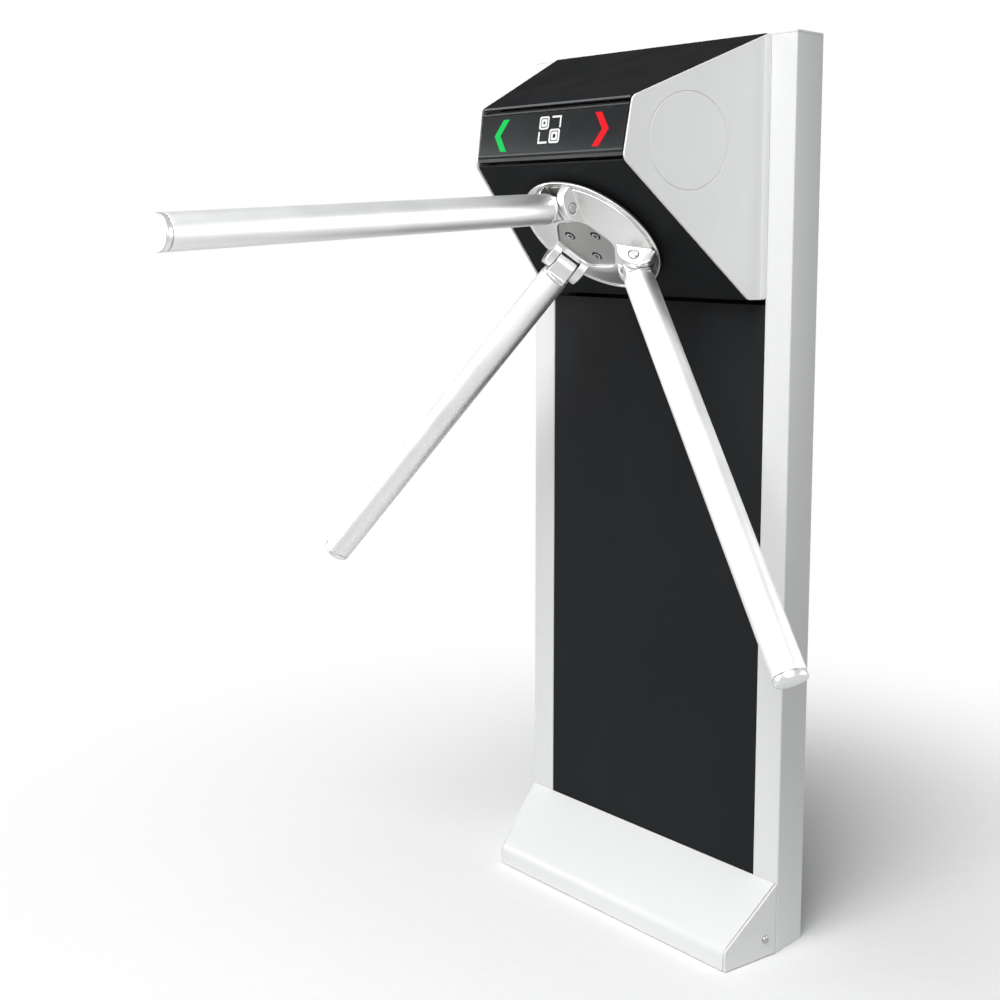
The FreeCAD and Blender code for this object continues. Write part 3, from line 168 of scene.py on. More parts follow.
room = bpy.data.worlds.new("room")
scene.world = room
room.use_nodes = True
tree = room.node_tree
seen = node(tree, "LightPath")
bright = node(tree, "Background", {"Color": (1, 1, 1, 1), "Strength": 1.0})
mirrored = node(tree, "MapRange", {"Value": seen.outputs["Is Glossy Ray"],
                                   "To Min": paint_level, "To Max": room_mirrored})
dim = node(tree, "Background", {"Color": (0.97, 0.985, 1, 1), "Strength": mirrored.outputs[0]})
blend = node(tree, "MixShader", {0: seen.outputs["Is Camera Ray"], 1: dim.outputs[0],
                                 2: bright.outputs[0]})
tree.links.new(blend.outputs[0], tree.nodes["World Output"].inputs["Surface"])


def soft_light(name, place, aim, size, power, on_paint=True):
    """A square area light at a place, turned towards the aim. Off the paint, it is only a
    bright card for the metal to mirror."""
    lamp = bpy.data.lights.new(name, "AREA")
    lamp.size = size
    lamp.energy = power
    holder = bpy.data.objects.new(name, lamp)
    holder.location = place
    holder.rotation_euler = (Vector(aim) - Vector(place)).to_track_quat("-Z", "Y").to_euler()
    holder.visible_diffuse = on_paint
    scene.collection.objects.link(holder)


soft_light("front_light", (0.45, -2.05, 3.15), (0, 0, 0.5), 2.0, 122)
soft_light("left_light", (-2.4, -0.9, 1.5), (0, 0, 0.6), 1.0, 6)
soft_light("right_card", (2.1, -2.1, 1.15), (0, -0.2, 0.7), 1.3, 30, on_paint=False)
soft_light("back_card", (2.2, 1.35, 0.86), (0, -0.39, 0.83), 1.3, 36, on_paint=False)
soft_light("left_card", (-1.95, -1.75, 0.8), (0, -0.63, 0.83), 1.2, 30, on_paint=False)

# ---------------------------------------------------------------- column
# Two welded rectangular steel tubes with a thin cap, and black sheet panels folded into
# the space between them. All of it is powder coated: a fine peel, even and satin.


def shader_group(name, inputs, outputs):
    """An empty shader node group: both arguments map a socket's name to its default."""
    kinds = {float: "NodeSocketFloat", tuple: "NodeSocketVector", list: "NodeSocketColor"}
    group = bpy.data.node_groups.new(name, "ShaderNodeTree")
    for label, value in inputs.items():
        socket = group.interface.new_socket(label, in_out="INPUT", socket_type=kinds[type(value)])
        socket.default_value = value
    for label, value in outputs.items():
        group.interface.new_socket(label, in_out="OUTPUT", socket_type=kinds[type(value)])
    return group, group.nodes.new("NodeGroupInput"), group.nodes.new("NodeGroupOutput")


def make_powder_group():
    """Powder coat: a fine peel in two sizes, a faint mottle from the curing and handling marks."""
    group, given, out = shader_group(
        "powder_surface", {"Peel Size": 700.0, "Mottle": 0.5},
        {"Height": 0.0, "Shade": 0.0, "Marks": 0.0})
    where = node(group, "TexCoord").outputs["Object"]
    peel = node(group, "TexNoise", {"Vector": where, "Scale": given.outputs["Peel Size"],
                                    "Detail": 3.0, "Roughness": 0.6})
    waves = node(group, "TexNoise", {"Vector": where, "Scale": 170.0, "Detail": 1.0})
    height = node(group, "Math", {0: peel.outputs["Fac"], 1: waves.outputs["Fac"]},
                  operation="ADD")
    cure = node(group, "TexNoise", {"Vector": where, "Scale": 5.0, "Detail": 3.0})
    speck = node(group, "TexNoise", {"Vector": where, "Scale": 260.0, "Detail": 2.0})
    shade = node(group, "Mix", {0: given.outputs["Mottle"], 2: speck.outputs["Fac"],
                                3: cure.outputs["Fac"]})
    cloth = node(group, "Mapping", {"Vector": where, "Scale": (9.0, 9.0, 2.5)})
    wiped = node(group, "TexNoise", {"Vector": cloth.outputs[0], "Scale": 1.6, "Detail": 4.0,
                                     "Distortion": 0.6})
    marks = node(group, "MapRange", {"Value": wiped.outputs["Fac"], "From Min": 0.42,
                                     "From Max": 0.72})
    for label, value in (("Height", height), ("Shade", shade), ("Marks", marks)):
        group.links.new(value.outputs[0], out.inputs[label])
    return group


def make_edge_highlight_group():
    """Painted edge highlight where the rounded normal leaves the true one, broken by a noise."""
    group, given, out = shader_group("painted_edge_highlight", {"Width": 0.001, "Breaks": 120.0},
                                     {"Mask": 0.0})
    rounded = node(group, "Bevel", {"Radius": given.outputs["Width"]}, samples=4)
    true = node(group, "NewGeometry")
    facing = node(group, "VectorMath", {0: rounded.outputs[0], 1: true.outputs["Normal"]},
                  operation="DOT_PRODUCT")
    turned_off = node(group, "MapRange", {"Value": facing.outputs["Value"], "From Min": 0.995,
                                          "From Max": 0.93})
    where = node(group, "TexCoord").outputs["Object"]
    patches = node(group, "TexNoise", {"Vector": where, "Scale": given.outputs["Breaks"],
                                       "Detail": 2.0})
    ragged = node(group, "MapRange", {"Value": patches.outputs["Fac"], "From Min": 0.3,
                                      "From Max": 0.6})
    mask = node(group, "Math", {0: turned_off.outputs[0], 1: ragged.outputs[0]},
                operation="MULTIPLY")
    group.links.new(mask.outputs[0], out.inputs["Mask"])
    return group


powder_group = make_powder_group()
edge_highlight_group = make_edge_highlight_group()


def fill_group(tree, group, inputs):
    """Places a shader group in a material and sets its inputs."""
    made = tree.nodes.new("ShaderNodeGroup")
    made.node_tree = group
    for key, value in inputs.items():
        if isinstance(value, bpy.types.NodeSocket):
            tree.links.new(value, made.inputs[key])
        else:
            made.inputs[key].default_value = value
    return made


def powder_coat(name, dark, light, edge, roughness, gloss, peel_depth):
    """A coated steel material: dark and light bound its mottle, edge is the tone of a painted
    highlight along the edges (a painted shade on the white coats), and roughness is (clean, wiped)."""
    coat = bpy.data.materials.new(name)
    coat.use_nodes = True
    tree = coat.node_tree
    shader = tree.nodes["Principled BSDF"]
    texture = fill_group(tree, powder_group, {"Peel Size": 700.0, "Mottle": 0.7})
    # A painted highlight along the edges; on the white coats the edge tone is a painted shade.
    edges = fill_group(tree, edge_highlight_group, {"Width": 0.0012, "Breaks": 90.0})
    body = node(tree, "Mix", {0: texture.outputs["Shade"], 6: dark, 7: light}, data_type="RGBA")
    edge_lit = node(tree, "Mix", {0: edges.outputs["Mask"], 6: body.outputs[2], 7: edge},
                data_type="RGBA")
    tree.links.new(edge_lit.outputs[2], shader.inputs["Base Color"])
    rough = node(tree, "MapRange", {"Value": texture.outputs["Marks"], "To Min": roughness[0],
                                    "To Max": roughness[1]})
    tree.links.new(rough.outputs[0], shader.inputs["Roughness"])
    bump = node(tree, "Bump", {"Height": texture.outputs["Height"], "Strength": 0.35,
                               "Distance": peel_depth})
    tree.links.new(bump.outputs[0], shader.inputs["Normal"])
    shader.inputs["Specular IOR Level"].default_value = gloss
    return coat


white_coat = powder_coat("white_powder_coat", (0.75, 0.76, 0.755, 1), (0.83, 0.835, 0.83, 1),
                         (0.72, 0.725, 0.72, 1), (0.36, 0.46), 0.42, 0.00012)
black_coat = powder_coat("black_powder_coat", (0.0132, 0.0142, 0.0155, 1),
                         (0.018, 0.0193, 0.021, 1), (0.032, 0.034, 0.037, 1),
                         (0.56, 0.66), 0.07, 0.0001)


def eased(node_name, name, ease, coat):
    """A sheet with soft edges: a copy of the CAD mesh with its triangles merged at their
    shared points and joined where they are flat, and a small bevel on its sharp edges."""
    mesh = frame["nodes"][node_name].data.copy()
    mesh.name = name
    work = bmesh.new()
    work.from_mesh(mesh)
    bmesh.ops.remove_doubles(work, verts=work.verts, dist=1e-6)
    bmesh.ops.dissolve_limit(work, angle_limit=math.radians(0.6), verts=work.verts,
                             edges=work.edges)
    work.to_mesh(mesh)
    work.free()
    mesh.shade_smooth()
    mesh.set_sharp_from_angle(angle=math.radians(28))
    mesh.materials.clear()
    mesh.materials.append(coat)
    piece = bpy.data.objects.new(name, mesh)
    scene.collection.objects.link(piece)
    bevel = piece.modifiers.new("soft_edge", "BEVEL")
    bevel.width = ease
    bevel.segments = 3
    bevel.limit_method = "ANGLE"
    bevel.angle_limit = math.radians(28)
    bevel.use_clamp_overlap = False
    bevel.harden_normals = True
    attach(piece, "column")
    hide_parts(node_name)
    return piece


for side in ("left", "right"):
    eased(f"{side}_post", f"{side}_post_tube", 0.0003, white_coat)
eased("top_cap", "column_cap", 0.0006, white_coat)
eased("front_panel", "front_panel_sheet", 0.0006, black_coat)
eased("rear_panel", "rear_panel_sheet", 0.0006, black_coat)

# ---------------------------------------------------------------- foot
# A sheet bent over the anchor plate: a slope, a wide bend and a short lip, with a flat
# plate at each end that stands proud of it and is held by one round-head screw.


def rounded(corners, radii, steps=8):
    """A closed outline whose corners are arcs: each corner is replaced by points at equal
    turns on the circle of its radius that touches both of its sides."""
    corners = np.asarray(corners, float)
    before = np.roll(corners, 1, 0) - corners
    after = np.roll(corners, -1, 0) - corners
    before /= np.linalg.norm(before, axis=1, keepdims=True)
    after /= np.linalg.norm(after, axis=1, keepdims=True)
    half = np.arccos(np.clip((before * after).sum(1), -1, 1)) / 2
    radii = np.maximum(np.broadcast_to(radii, half.shape), 1e-6)
    bisector = before + after
    bisector /= np.linalg.norm(bisector, axis=1, keepdims=True)
    centre = corners + bisector * (radii / np.sin(half))[:, None]
    start = corners + before * (radii / np.tan(half))[:, None] - centre
    end = corners + after * (radii / np.tan(half))[:, None] - centre
    sweep = np.pi - 2 * half
    part = np.linspace(0, 1, steps)[None, :, None]
    angle = sweep[:, None, None]
    arc = (start[:, None] * np.sin((1 - part) * angle) + end[:, None] * np.sin(part * angle))
    return (centre[:, None] + arc / np.sin(angle)).reshape(-1, 2)


def crosswise(name, outline, half_at):
    """A sheet bent along X: point (i, j) is the outline's (y, z) number i, at x = t half_at(y, z)
    for t = -1 and 1."""
    x = np.outer(half_at(outline[:, 0], outline[:, 1]), (-1, 1))
    points = np.stack([x, np.repeat(outline[:, :1], 2, 1), np.repeat(outline[:, 1:], 2, 1)], -1)
    return surface(name, points, closed=(True, False), caps=True, crease=50)


cover_low, cover_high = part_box("foot_cover")
lip, gauge, bend = 0.024, 0.002, 0.016
run = cover_high.y - cover_low.y
slope = math.atan2(cover_high.z - lip, run)
drop = gauge / math.cos(slope)
front = cover_low.y
outline = rounded(
    [(front, cover_low.z), (front, lip), (cover_high.y, cover_high.z),
     (cover_high.y, cover_high.z - drop),
     (front + gauge, lip - drop + gauge * math.tan(slope)), (front + gauge, cover_low.z)],
    [0.0006, bend, 0.0006, 0.0006, bend - gauge, 0.0006])
taper = math.tan(math.radians(11))
cover = crosswise("foot_cover_sheet", outline,
                  lambda y, z: cover_high.x - (cover_high.y - y) * taper)
cover.data.materials.append(white_coat)
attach(cover, "column")
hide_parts("foot_cover")
for side in ("left", "right"):
    eased(f"cover_end_{side}", f"foot_end_plate_{side}", 0.0005, white_coat)

# ---------------------------------------------------------------- head shell
# White coated side plates with the ring of the card reader milled in them and a doubled
# edge by the column, where they flare out a little. Black coated covers lie between them:
# the sloping top, the slanted face and the short bottom.
# The side plates get a lighter copy of the white coat: painted light, as if lit more than the
# posts.
plate_coat_lightened = powder_coat("white_plate_coat_painted_light", (0.82, 0.83, 0.825, 1), (0.88, 0.885, 0.88, 1),
                         (0.76, 0.765, 0.76, 1), (0.36, 0.46), 0.42, 0.00012)
# The top cover gets a darker copy of the black coat: painted shade against the light from above.
top_coat_darkened = powder_coat("black_top_coat_painted_shade", (0.0024, 0.0026, 0.003, 1),
                       (0.0038, 0.0041, 0.0046, 1), (0.02, 0.022, 0.024, 1),
                       (0.6, 0.7), 0.05, 0.0001)

# A plate leans in towards the front from the column's face, where it is back_half from the
# middle; both are in millimetres.
plate_lean = math.radians(15)
column_face, back_half = 14.0, 160.0
flare_length, flare_height, plate_gauge = 14.0, 2.0, 3.0


def on_plate(sign, q, z, height):
    """The object frame's point at q back along the plate (0 at the column, negative forward),
    at the level z and a height out of the plate's plane, all in millimetres. Over its last
    stretch the plate flares out by flare_height (1 + q / flare_length)^2."""
    flare = flare_height * np.clip(1 + q / flare_length, 0, 1) ** 2
    x = back_half + q * math.sin(plate_lean) + (height + flare) * math.cos(plate_lean)
    y = column_face + q * math.cos(plate_lean) - (height + flare) * math.sin(plate_lean)
    return np.stack([sign * x, y, z], -1) / 1000


def side_plate(side, sign):
    """A plate with a milled ring: point (i, j) lies at the angle 2 pi j / 720 round the ring's
    centre, at row i's radius: from 0 over the ring to the plate's rounded outline and back to
    the middle of the inner face."""
    centre, ring, groove = np.array([-106.0, 911.5]), 51.5, -0.5
    corners = np.array([(13.9, 1029.3), (-157.0, 955.0), (-167.5, 891.5), (-8.1, 742.9),
                        (13.9, 742.9)])
    corners[:, 0] = (corners[:, 0] - column_face) / math.cos(plate_lean)
    path = rounded(corners, [1.0, 9, 12, 7, 3], steps=12) - centre
    bearing = np.arctan2(path[:, 1], path[:, 0]) % (2 * np.pi)
    path, bearing = path[np.argsort(bearing)], np.sort(bearing)
    angle = np.linspace(0, 2 * np.pi, 720, endpoint=False)
    which = (np.searchsorted(bearing, angle, side="right") - 1) % len(path)
    (x0, y0), (x1, y1) = path[which].T, path[(which + 1) % len(path)].T
    rim = (x0 * y1 - x1 * y0) / (np.cos(angle) * (y1 - y0) - np.sin(angle) * (x1 - x0))
    rows = [(r, 0.0) for r in (0.01, 12, 25, 38, ring - 0.9)]
    rows += [(ring - 0.55, groove), (ring + 0.15, groove), (ring + 0.5, 0.0)]
    share = np.concatenate([np.linspace(0.03, 0.7, 9), np.linspace(0.73, 1, 16)])
    rows += [(ring + 0.5 + (rim - 0.7 - ring) * part, 0.0) for part in share]
    rows += [(rim - 0.08, -0.05), (rim, -0.22), (rim, 0.4 - plate_gauge),
             (rim - 2.5, -plate_gauge), (0.01, -plate_gauge)]
    radius = np.stack([np.broadcast_to(r, angle.shape) for r, _ in rows])
    height = np.array([h for _, h in rows])[:, None]
    points = on_plate(sign, centre[0] + radius * np.cos(angle),
                      centre[1] + radius * np.sin(angle), height)
    return surface(f"head_side_plate_{side}", points, closed=(False, True), crease=25)


def plate_fold(side, sign):
    """The plate's doubled back edge: point (i, j) is the outline's (q, height) number i at
    the level of the edge's foot for j = 0 and of its top for j = 1."""
    outline = rounded([(-7.2, -0.3), (-7.2, 0.35), (-2.0, 0.35), (-2.0, -0.3)],
                      [0.1, 0.25, 0.25, 0.1], steps=5)
    q, height = outline.T
    z = np.array([744.4, 1027.0])
    grid = np.broadcast_arrays(q[:, None], z[None], height[:, None])
    return surface(f"head_side_fold_{side}", on_plate(sign, *grid), closed=(True, False),
                   caps=True)


for side, sign in (("left", -1), ("right", 1)):
    plate = side_plate(side, sign)
    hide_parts(f"head_side_{side}")
    for piece in (plate, plate_fold(side, sign)):
        piece.data.materials.append(plate_coat_lightened)
        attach(piece, "column")
eased("head_top_cover", "head_top_sheet", 0.0006, top_coat_darkened)
eased("head_lower_cover", "head_face_sheet", 0.0006, black_coat)
eased("head_bottom_plate", "head_bottom_sheet", 0.0005, black_coat)

# ---------------------------------------------------------------- display band
# A moulded black band across the nose: a groove under the top cover, a thin lip, a satin
# pane with a lit arrow on each side and a printed code-reader symbol, and a lower ridge.


def outward_face(node_name):
    """The direction of a sheet's largest face that looks forward, and the points on it."""
    data = frame["nodes"][node_name].data
    area = np.zeros(len(data.polygons))
    normal = np.zeros(len(data.polygons) * 3)
    data.polygons.foreach_get("area", area)
    data.polygons.foreach_get("normal", normal)
    normal = normal.reshape(-1, 3)
    area = np.where(normal[:, 1] < -0.1, area, 0)
    kinds, which = np.unique(np.round(normal, 3), axis=0, return_inverse=True)
    total = np.bincount(which.ravel(), area)
    chosen = normal[which.ravel() == total.argmax()].mean(0)
    chosen /= np.linalg.norm(chosen)
    points = np.array([vertex.co for vertex in data.vertices])
    level = points @ chosen
    return chosen, points[level > level.max() - 1e-5]


across = np.array([1.0, 0, 0])
band_out, band_points = outward_face("display_bezel")
band_up = np.cross(band_out, across)
level = band_points @ band_up
top_edge = band_points[level > level.max() - 1e-5]
low_edge = band_points[level < level.min() + 1e-5]
seam = 0.0024
brow = top_edge.mean(0) * (0, 1, 1) + band_up * seam
band_length = level.max() - level.min() + seam
half_top, half_low = np.abs(top_edge[:, 0]).max(), np.abs(low_edge[:, 0]).max()


def band_half(s):
    """Half the band's width at a distance below the brow."""
    return half_top + (half_low - half_top) * (s - seam) / (band_length - seam)


def on_band(x, s, n):
    """The point of the object frame at x, a distance s below the brow, n out of the band."""
    x, s, n = (value[..., None] for value in np.broadcast_arrays(x, s, n))
    return brow + across * x - band_up * s + band_out * n


def band_bar(name, outline, margin, material, nodes=()):
    """A bar along the band: point (i, j) is the outline's (s, n) number i in millimetres, at
    x = t (half width - margin) for t = -1 and 1."""
    s, n = outline.T / 1000
    points = on_band(np.outer(band_half(s) - margin, (-1, 1)), s[:, None], n[:, None])
    piece = surface(name, points, closed=(True, False), caps=True, crease=40)
    piece.data.materials.append(material)
    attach(piece, "column")
    if nodes:
        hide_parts(*nodes)
    return piece


moulded = powder_coat("moulded_black", (0.011, 0.012, 0.013, 1), (0.0155, 0.0168, 0.018, 1),
                      (0.05, 0.053, 0.057, 1), (0.34, 0.46), 0.26, 0.00006)
band_end = band_length * 1000 - 0.4
band_bar("display_surround", rounded(
    [(2.6, -8), (2.6, -7.2), (6.6, -7.2), (6.8, -0.2), (8.6, -0.4), (9.4, -1.6), (52.6, -1.6),
     (53.0, 0.0), (55.4, 0.1), (57.4, -1.9), (band_end - 2.4, -2.2), (band_end - 2.2, -8)],
    [0.3, 0.3, 0.5, 0.7, 0.4, 0.3, 0.3, 0.8, 1.2, 1.0, 0.8, 0.3]), 0.0, moulded,
    ["display_bezel"])
# The upper lip and the lower ridge are coated lighter grey: painted highlights on their rounded
# tops.
lip_highlight_coat = powder_coat("lip_highlight_coat", (0.034, 0.037, 0.04, 1), (0.05, 0.054, 0.058, 1),
                        (0.07, 0.075, 0.08, 1), (0.34, 0.44), 0.4, 0.00005)
band_bar("display_upper_lip", rounded(
    [(6.7, -2.0), (6.7, 0.1), (8.3, 0.0), (8.3, -2.0)], [0.1, 0.6, 0.6, 0.1]), 0.001,
    lip_highlight_coat)
band_bar("display_lower_ridge", rounded(
    [(52.7, -2.0), (52.7, 0.2), (55.2, 0.3), (56.2, -2.0)], [0.1, 0.8, 1.1, 0.1]), 0.001,
    lip_highlight_coat)
# The top cover's hem is coated mid grey: a painted highlight along its folded edge.
hem_highlight_coat = powder_coat("hem_highlight_coat", (0.075, 0.08, 0.085, 1), (0.11, 0.117, 0.124, 1),
                       (0.13, 0.138, 0.145, 1), (0.32, 0.42), 0.5, 0.00005)
band_bar("head_top_hem", rounded(
    [(-0.5, -3.5), (-0.5, 0.1), (1.7, 0.1), (1.9, -3.5)], [0.3, 0.8, 0.6, 0.3]), 0.0005,
    hem_highlight_coat)
pane_material = powder_coat("satin_pane", (0.0105, 0.0118, 0.013, 1), (0.0125, 0.0138, 0.015, 1),
                            (0.03, 0.032, 0.034, 1), (0.26, 0.36), 0.2, 0.00001)
band_bar("display_pane", rounded(
    [(9.8, -1.8), (9.8, -0.8), (52.4, -0.8), (52.4, -1.8)], [0.1, 0.3, 0.3, 0.1]), 0.0012,
    pane_material, ["display_window"])

white_ink = powder_coat("white_print", (0.74, 0.75, 0.75, 1), (0.86, 0.87, 0.87, 1),
                        (0.9, 0.9, 0.9, 1), (0.4, 0.5), 0.3, 0.00003)


def square_path(centre, half, radius):
    """A rounded square in the band's (x, s), the same number of points for every size."""
    x, s = centre
    corners = [(x - half, s - half), (x + half, s - half), (x + half, s + half),
               (x - half, s + half)]
    return rounded(corners, radius, steps=7)


def printed(name, outer, inner):
    """A flat print: point (i, j) goes from the outer path's foot over its top to the inner
    path's top and foot, for point j of both paths, in millimetres."""
    low, high = -0.85, -0.5
    rows = [(outer, low), (outer, high), (inner, high), (inner, low)]
    points = np.stack([on_band(path[:, 0] / 1000, path[:, 1] / 1000, level / 1000)
                       for path, level in rows])
    return surface(name, points, closed=(True, True), crease=40)


middle = band_length * 1000 / 2 - 2.9
marks = []
for number, (x, s, half) in enumerate([(-9.2, middle - 7.8, 7.1), (7.8, middle + 7.1, 7.7)]):
    marks.append(printed(f"code_target_ring_{number}", square_path((x, s), half, half * 0.35),
                         square_path((x, s), half - 1.9, half * 0.28)))
    marks.append(printed(f"code_target_core_{number}", square_path((x, s), half - 3.0, half * 0.22),
                         square_path((x, s), half - 5.6, half * 0.1)))
for number, (sign, x, s) in enumerate([(1, 2.2, middle - 14.9), (-1, -2.6, middle + 14.7)]):
    stroke, width, height = 2.1, 13.8, 13.0
    corners = [(0, 0), (width, 0), (width, height), (width - stroke, height),
               (width - stroke, stroke), (0, stroke)]
    path = np.array([(x + sign * a, s + sign * b) for a, b in corners])
    points = np.stack([on_band(path[:, 0] / 1000, path[:, 1] / 1000, n / 1000)
                       for n in (-0.85, -0.5)])
    marks.append(surface(f"code_corner_{number}", points, closed=(False, True), caps=True))
for piece in marks:
    piece.data.materials.append(white_ink)
    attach(piece, "column")
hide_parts("reader_card")


def lamp(name, colour, edge, strength):
    """A lit arrow: a diffusing film with a fine row of dots, brightest in its middle."""
    film = bpy.data.materials.new(name)
    film.use_nodes = True
    tree = film.node_tree
    shader = tree.nodes["Principled BSDF"]
    where = node(tree, "TexCoord").outputs["Object"]
    dots = node(tree, "TexVoronoi", {"Vector": where, "Scale": 420.0, "Randomness": 0.15})
    spread = node(tree, "MapRange", {"Value": dots.outputs["Distance"], "From Max": 0.7,
                                     "To Min": 1.0, "To Max": 0.0})
    grain = node(tree, "TexNoise", {"Vector": where, "Scale": 90.0, "Detail": 2.0})
    level = node(tree, "Math", {0: spread.outputs[0], 1: grain.outputs["Fac"]},
                 operation="MULTIPLY")
    tint = node(tree, "Mix", {0: level.outputs[0], 6: edge, 7: colour}, data_type="RGBA")
    tree.links.new(tint.outputs[2], shader.inputs["Emission Color"])
    shader.inputs["Emission Strength"].default_value = strength
    dull = node(tree, "Mix", {0: level.outputs[0], 6: tuple(0.04 * c for c in edge[:3]) + (1,),
                              7: tuple(0.08 * c for c in colour[:3]) + (1,)}, data_type="RGBA")
    tree.links.new(dull.outputs[2], shader.inputs["Base Color"])
    shader.inputs["Specular IOR Level"].default_value = 0.1
    shader.inputs["Roughness"].default_value = 0.4
    bump = node(tree, "Bump", {"Height": dots.outputs["Distance"], "Strength": 0.2,
                               "Distance": 0.0001})
    tree.links.new(bump.outputs[0], shader.inputs["Normal"])
    return film


def recolour(node_name, material):
    """Gives a CAD node, whose shape is right, its finished material."""
    slots = frame["nodes"][node_name].data.materials
    slots.clear()
    slots.append(material)


recolour("pass_arrow", lamp("green_lamp", (0.0, 0.72, 0.13, 1), (0.0, 0.6, 0.1, 1), 1.0))
recolour("stop_arrow", lamp("red_lamp", (1.0, 0.008, 0.022, 1), (0.86, 0.005, 0.015, 1), 1.0))

# ---------------------------------------------------------------- hub
# A turned disc with a raised rim, and on it a die-cast piece with three forks and a
# recessed middle, held by three socket screws. Satin zinc with softly rounded edges.
spin = next(joint for joint in frame["joints"] if joint["name"] == "hub_spin")
hub_centre = np.array(spin["pos_m"])
hub_out = np.array(spin["axis"])
hub_up = np.cross(hub_out, across)


def in_hub(points):
    """Hub millimetres (x across, y towards arm 1, z out of the face) in the object frame."""
    return hub_centre + (points / 1000) @ np.stack([across, hub_up, hub_out])


def turned(name, profile, place, steps=96, closed=True, crease=30):
    """A turned piece: point (i, j) is profile i = (radius, height) carried round the local z
    by the angle 2 pi j / steps."""
    angle = np.linspace(0, 2 * np.pi, steps, endpoint=False)
    radius, height = np.asarray(profile, float).T
    points = np.stack([np.outer(radius, np.sin(angle)), np.outer(radius, np.cos(angle)),
                       np.repeat(height[:, None], steps, 1)], -1)
    return surface(name, place(points), closed=(closed, True), crease=crease)


def make_metal_group():
    """Satin metal: lines drawn along the given vector's first axis, a blasted grain and a
    broad variation of the polish."""
    group, given, out = shader_group(
        "satin_metal", {"Vector": (0.0, 0.0, 0.0), "Lines": 400.0, "Grain": 1400.0},
        {"Lines": 0.0, "Grain": 0.0, "Polish": 0.0})
    stretched = node(group, "Mapping", {"Vector": given.outputs["Vector"],
                                        "Scale": (0.02, 1.0, 1.0)})
    lines = node(group, "TexNoise", {"Vector": stretched.outputs[0],
                                     "Scale": given.outputs["Lines"], "Detail": 3.0})
    where = node(group, "TexCoord").outputs["Object"]
    grain = node(group, "TexNoise", {"Vector": where, "Scale": given.outputs["Grain"],
                                     "Detail": 2.0, "Roughness": 0.7})
    polish = node(group, "TexNoise", {"Vector": where, "Scale": 18.0, "Detail": 3.0})
    for label, value in (("Lines", lines), ("Grain", grain), ("Polish", polish)):
        group.links.new(value.outputs["Fac"], out.inputs[label])
    return group


metal_group = make_metal_group()


def metal(name, dark, light, roughness, line_depth, grain_depth, on_uv=False, edge_highlight=0.0,
          painted_shade_tone=None):
    """A satin metal material: dark and light bound its polish, roughness is (polished, dull),
    the next argument is how strongly a painted highlight lightens its edges, and the last is
    the tone of a painted shade that a per-vertex attribute mixes in."""
    made = bpy.data.materials.new(name)
    made.use_nodes = True
    tree = made.node_tree
    shader = tree.nodes["Principled BSDF"]
    where = node(tree, "TexCoord").outputs["UV" if on_uv else "Object"]
    texture = fill_group(tree, metal_group, {"Vector": where, "Lines": 900.0, "Grain": 1500.0})
    mixed = node(tree, "Mix", {0: 0.45, 2: texture.outputs["Polish"],
                               3: texture.outputs["Lines"]})
    body = node(tree, "Mix", {0: mixed.outputs[0], 6: dark, 7: light}, data_type="RGBA")
    if edge_highlight:
        # Painted highlight: the edges are lightened towards near white.
        edges = fill_group(tree, edge_highlight_group, {"Width": 0.0012, "Breaks": 160.0})
        amount = node(tree, "Math", {0: edges.outputs["Mask"], 1: edge_highlight}, operation="MULTIPLY")
        body = node(tree, "Mix", {0: amount.outputs[0], 6: body.outputs[2],
                                  7: (0.93, 0.93, 0.92, 1)}, data_type="RGBA")
    if painted_shade_tone:
        # Painted shade: the per-vertex amount darkens the hollows towards the given tone.
        painted_shade = node(tree, "Attribute", attribute_name="painted_shade")
        body = node(tree, "Mix", {0: painted_shade.outputs["Fac"], 6: body.outputs[2], 7: painted_shade_tone},
                    data_type="RGBA")
    tree.links.new(body.outputs[2], shader.inputs["Base Color"])
    rough = node(tree, "MapRange", {"Value": texture.outputs["Polish"], "From Min": 0.3,
                                    "From Max": 0.7, "To Min": roughness[0],
                                    "To Max": roughness[1]})
    tree.links.new(rough.outputs[0], shader.inputs["Roughness"])
    lines = node(tree, "Bump", {"Height": texture.outputs["Lines"], "Strength": 0.2,
                                "Distance": line_depth})
    both = node(tree, "Bump", {"Height": texture.outputs["Grain"], "Strength": 0.2,
                               "Distance": grain_depth, "Normal": lines.outputs[0]})
    tree.links.new(both.outputs[0], shader.inputs["Normal"])
    shader.inputs["Metallic"].default_value = 1.0
    return made


disc_metal = metal("turned_zinc", (0.74, 0.74, 0.73, 1), (0.86, 0.86, 0.85, 1), (0.26, 0.36),
                   0.000008, 0.000003, on_uv=True)
# The casting's zinc: a painted highlight on its edges and painted shade in its hollows.
cast_metal = metal("cast_zinc", (0.78, 0.78, 0.77, 1), (0.89, 0.89, 0.88, 1), (0.32, 0.42),
                   0.000002, 0.000012, edge_highlight=0.8, painted_shade_tone=(0.16, 0.155, 0.15, 1))

disc_radius, disc_back, disc_face = 86.0, 2.5, 9.0
disc = turned("hub_rim_disc", rounded(
    [(0.0, disc_back), (disc_radius - 4.5, disc_back), (disc_radius, disc_back + 4.0),
     (disc_radius, disc_face), (disc_radius - 2.4, disc_face), (disc_radius - 3.6, disc_face - 1.2),
     (0.0, disc_face - 1.2)], [0.001, 0.5, 0.8, 1.0, 0.7, 0.8, 0.001], steps=6), in_hub, steps=192)
disc.data.materials.append(disc_metal)
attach(disc, "hub")
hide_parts("hub_disc")


def softer(a, b, k):
    """Smooth minimum of two distances: they blend over a width k."""
    h = np.clip(0.5 + 0.5 * (b - a) / k, 0, 1)
    return b + (a - b) * h - k * h * (1 - h)


def cut(a, b, k):
    """The part of a that lies outside b, with its new edge eased over k."""
    return -softer(-a, b, k)


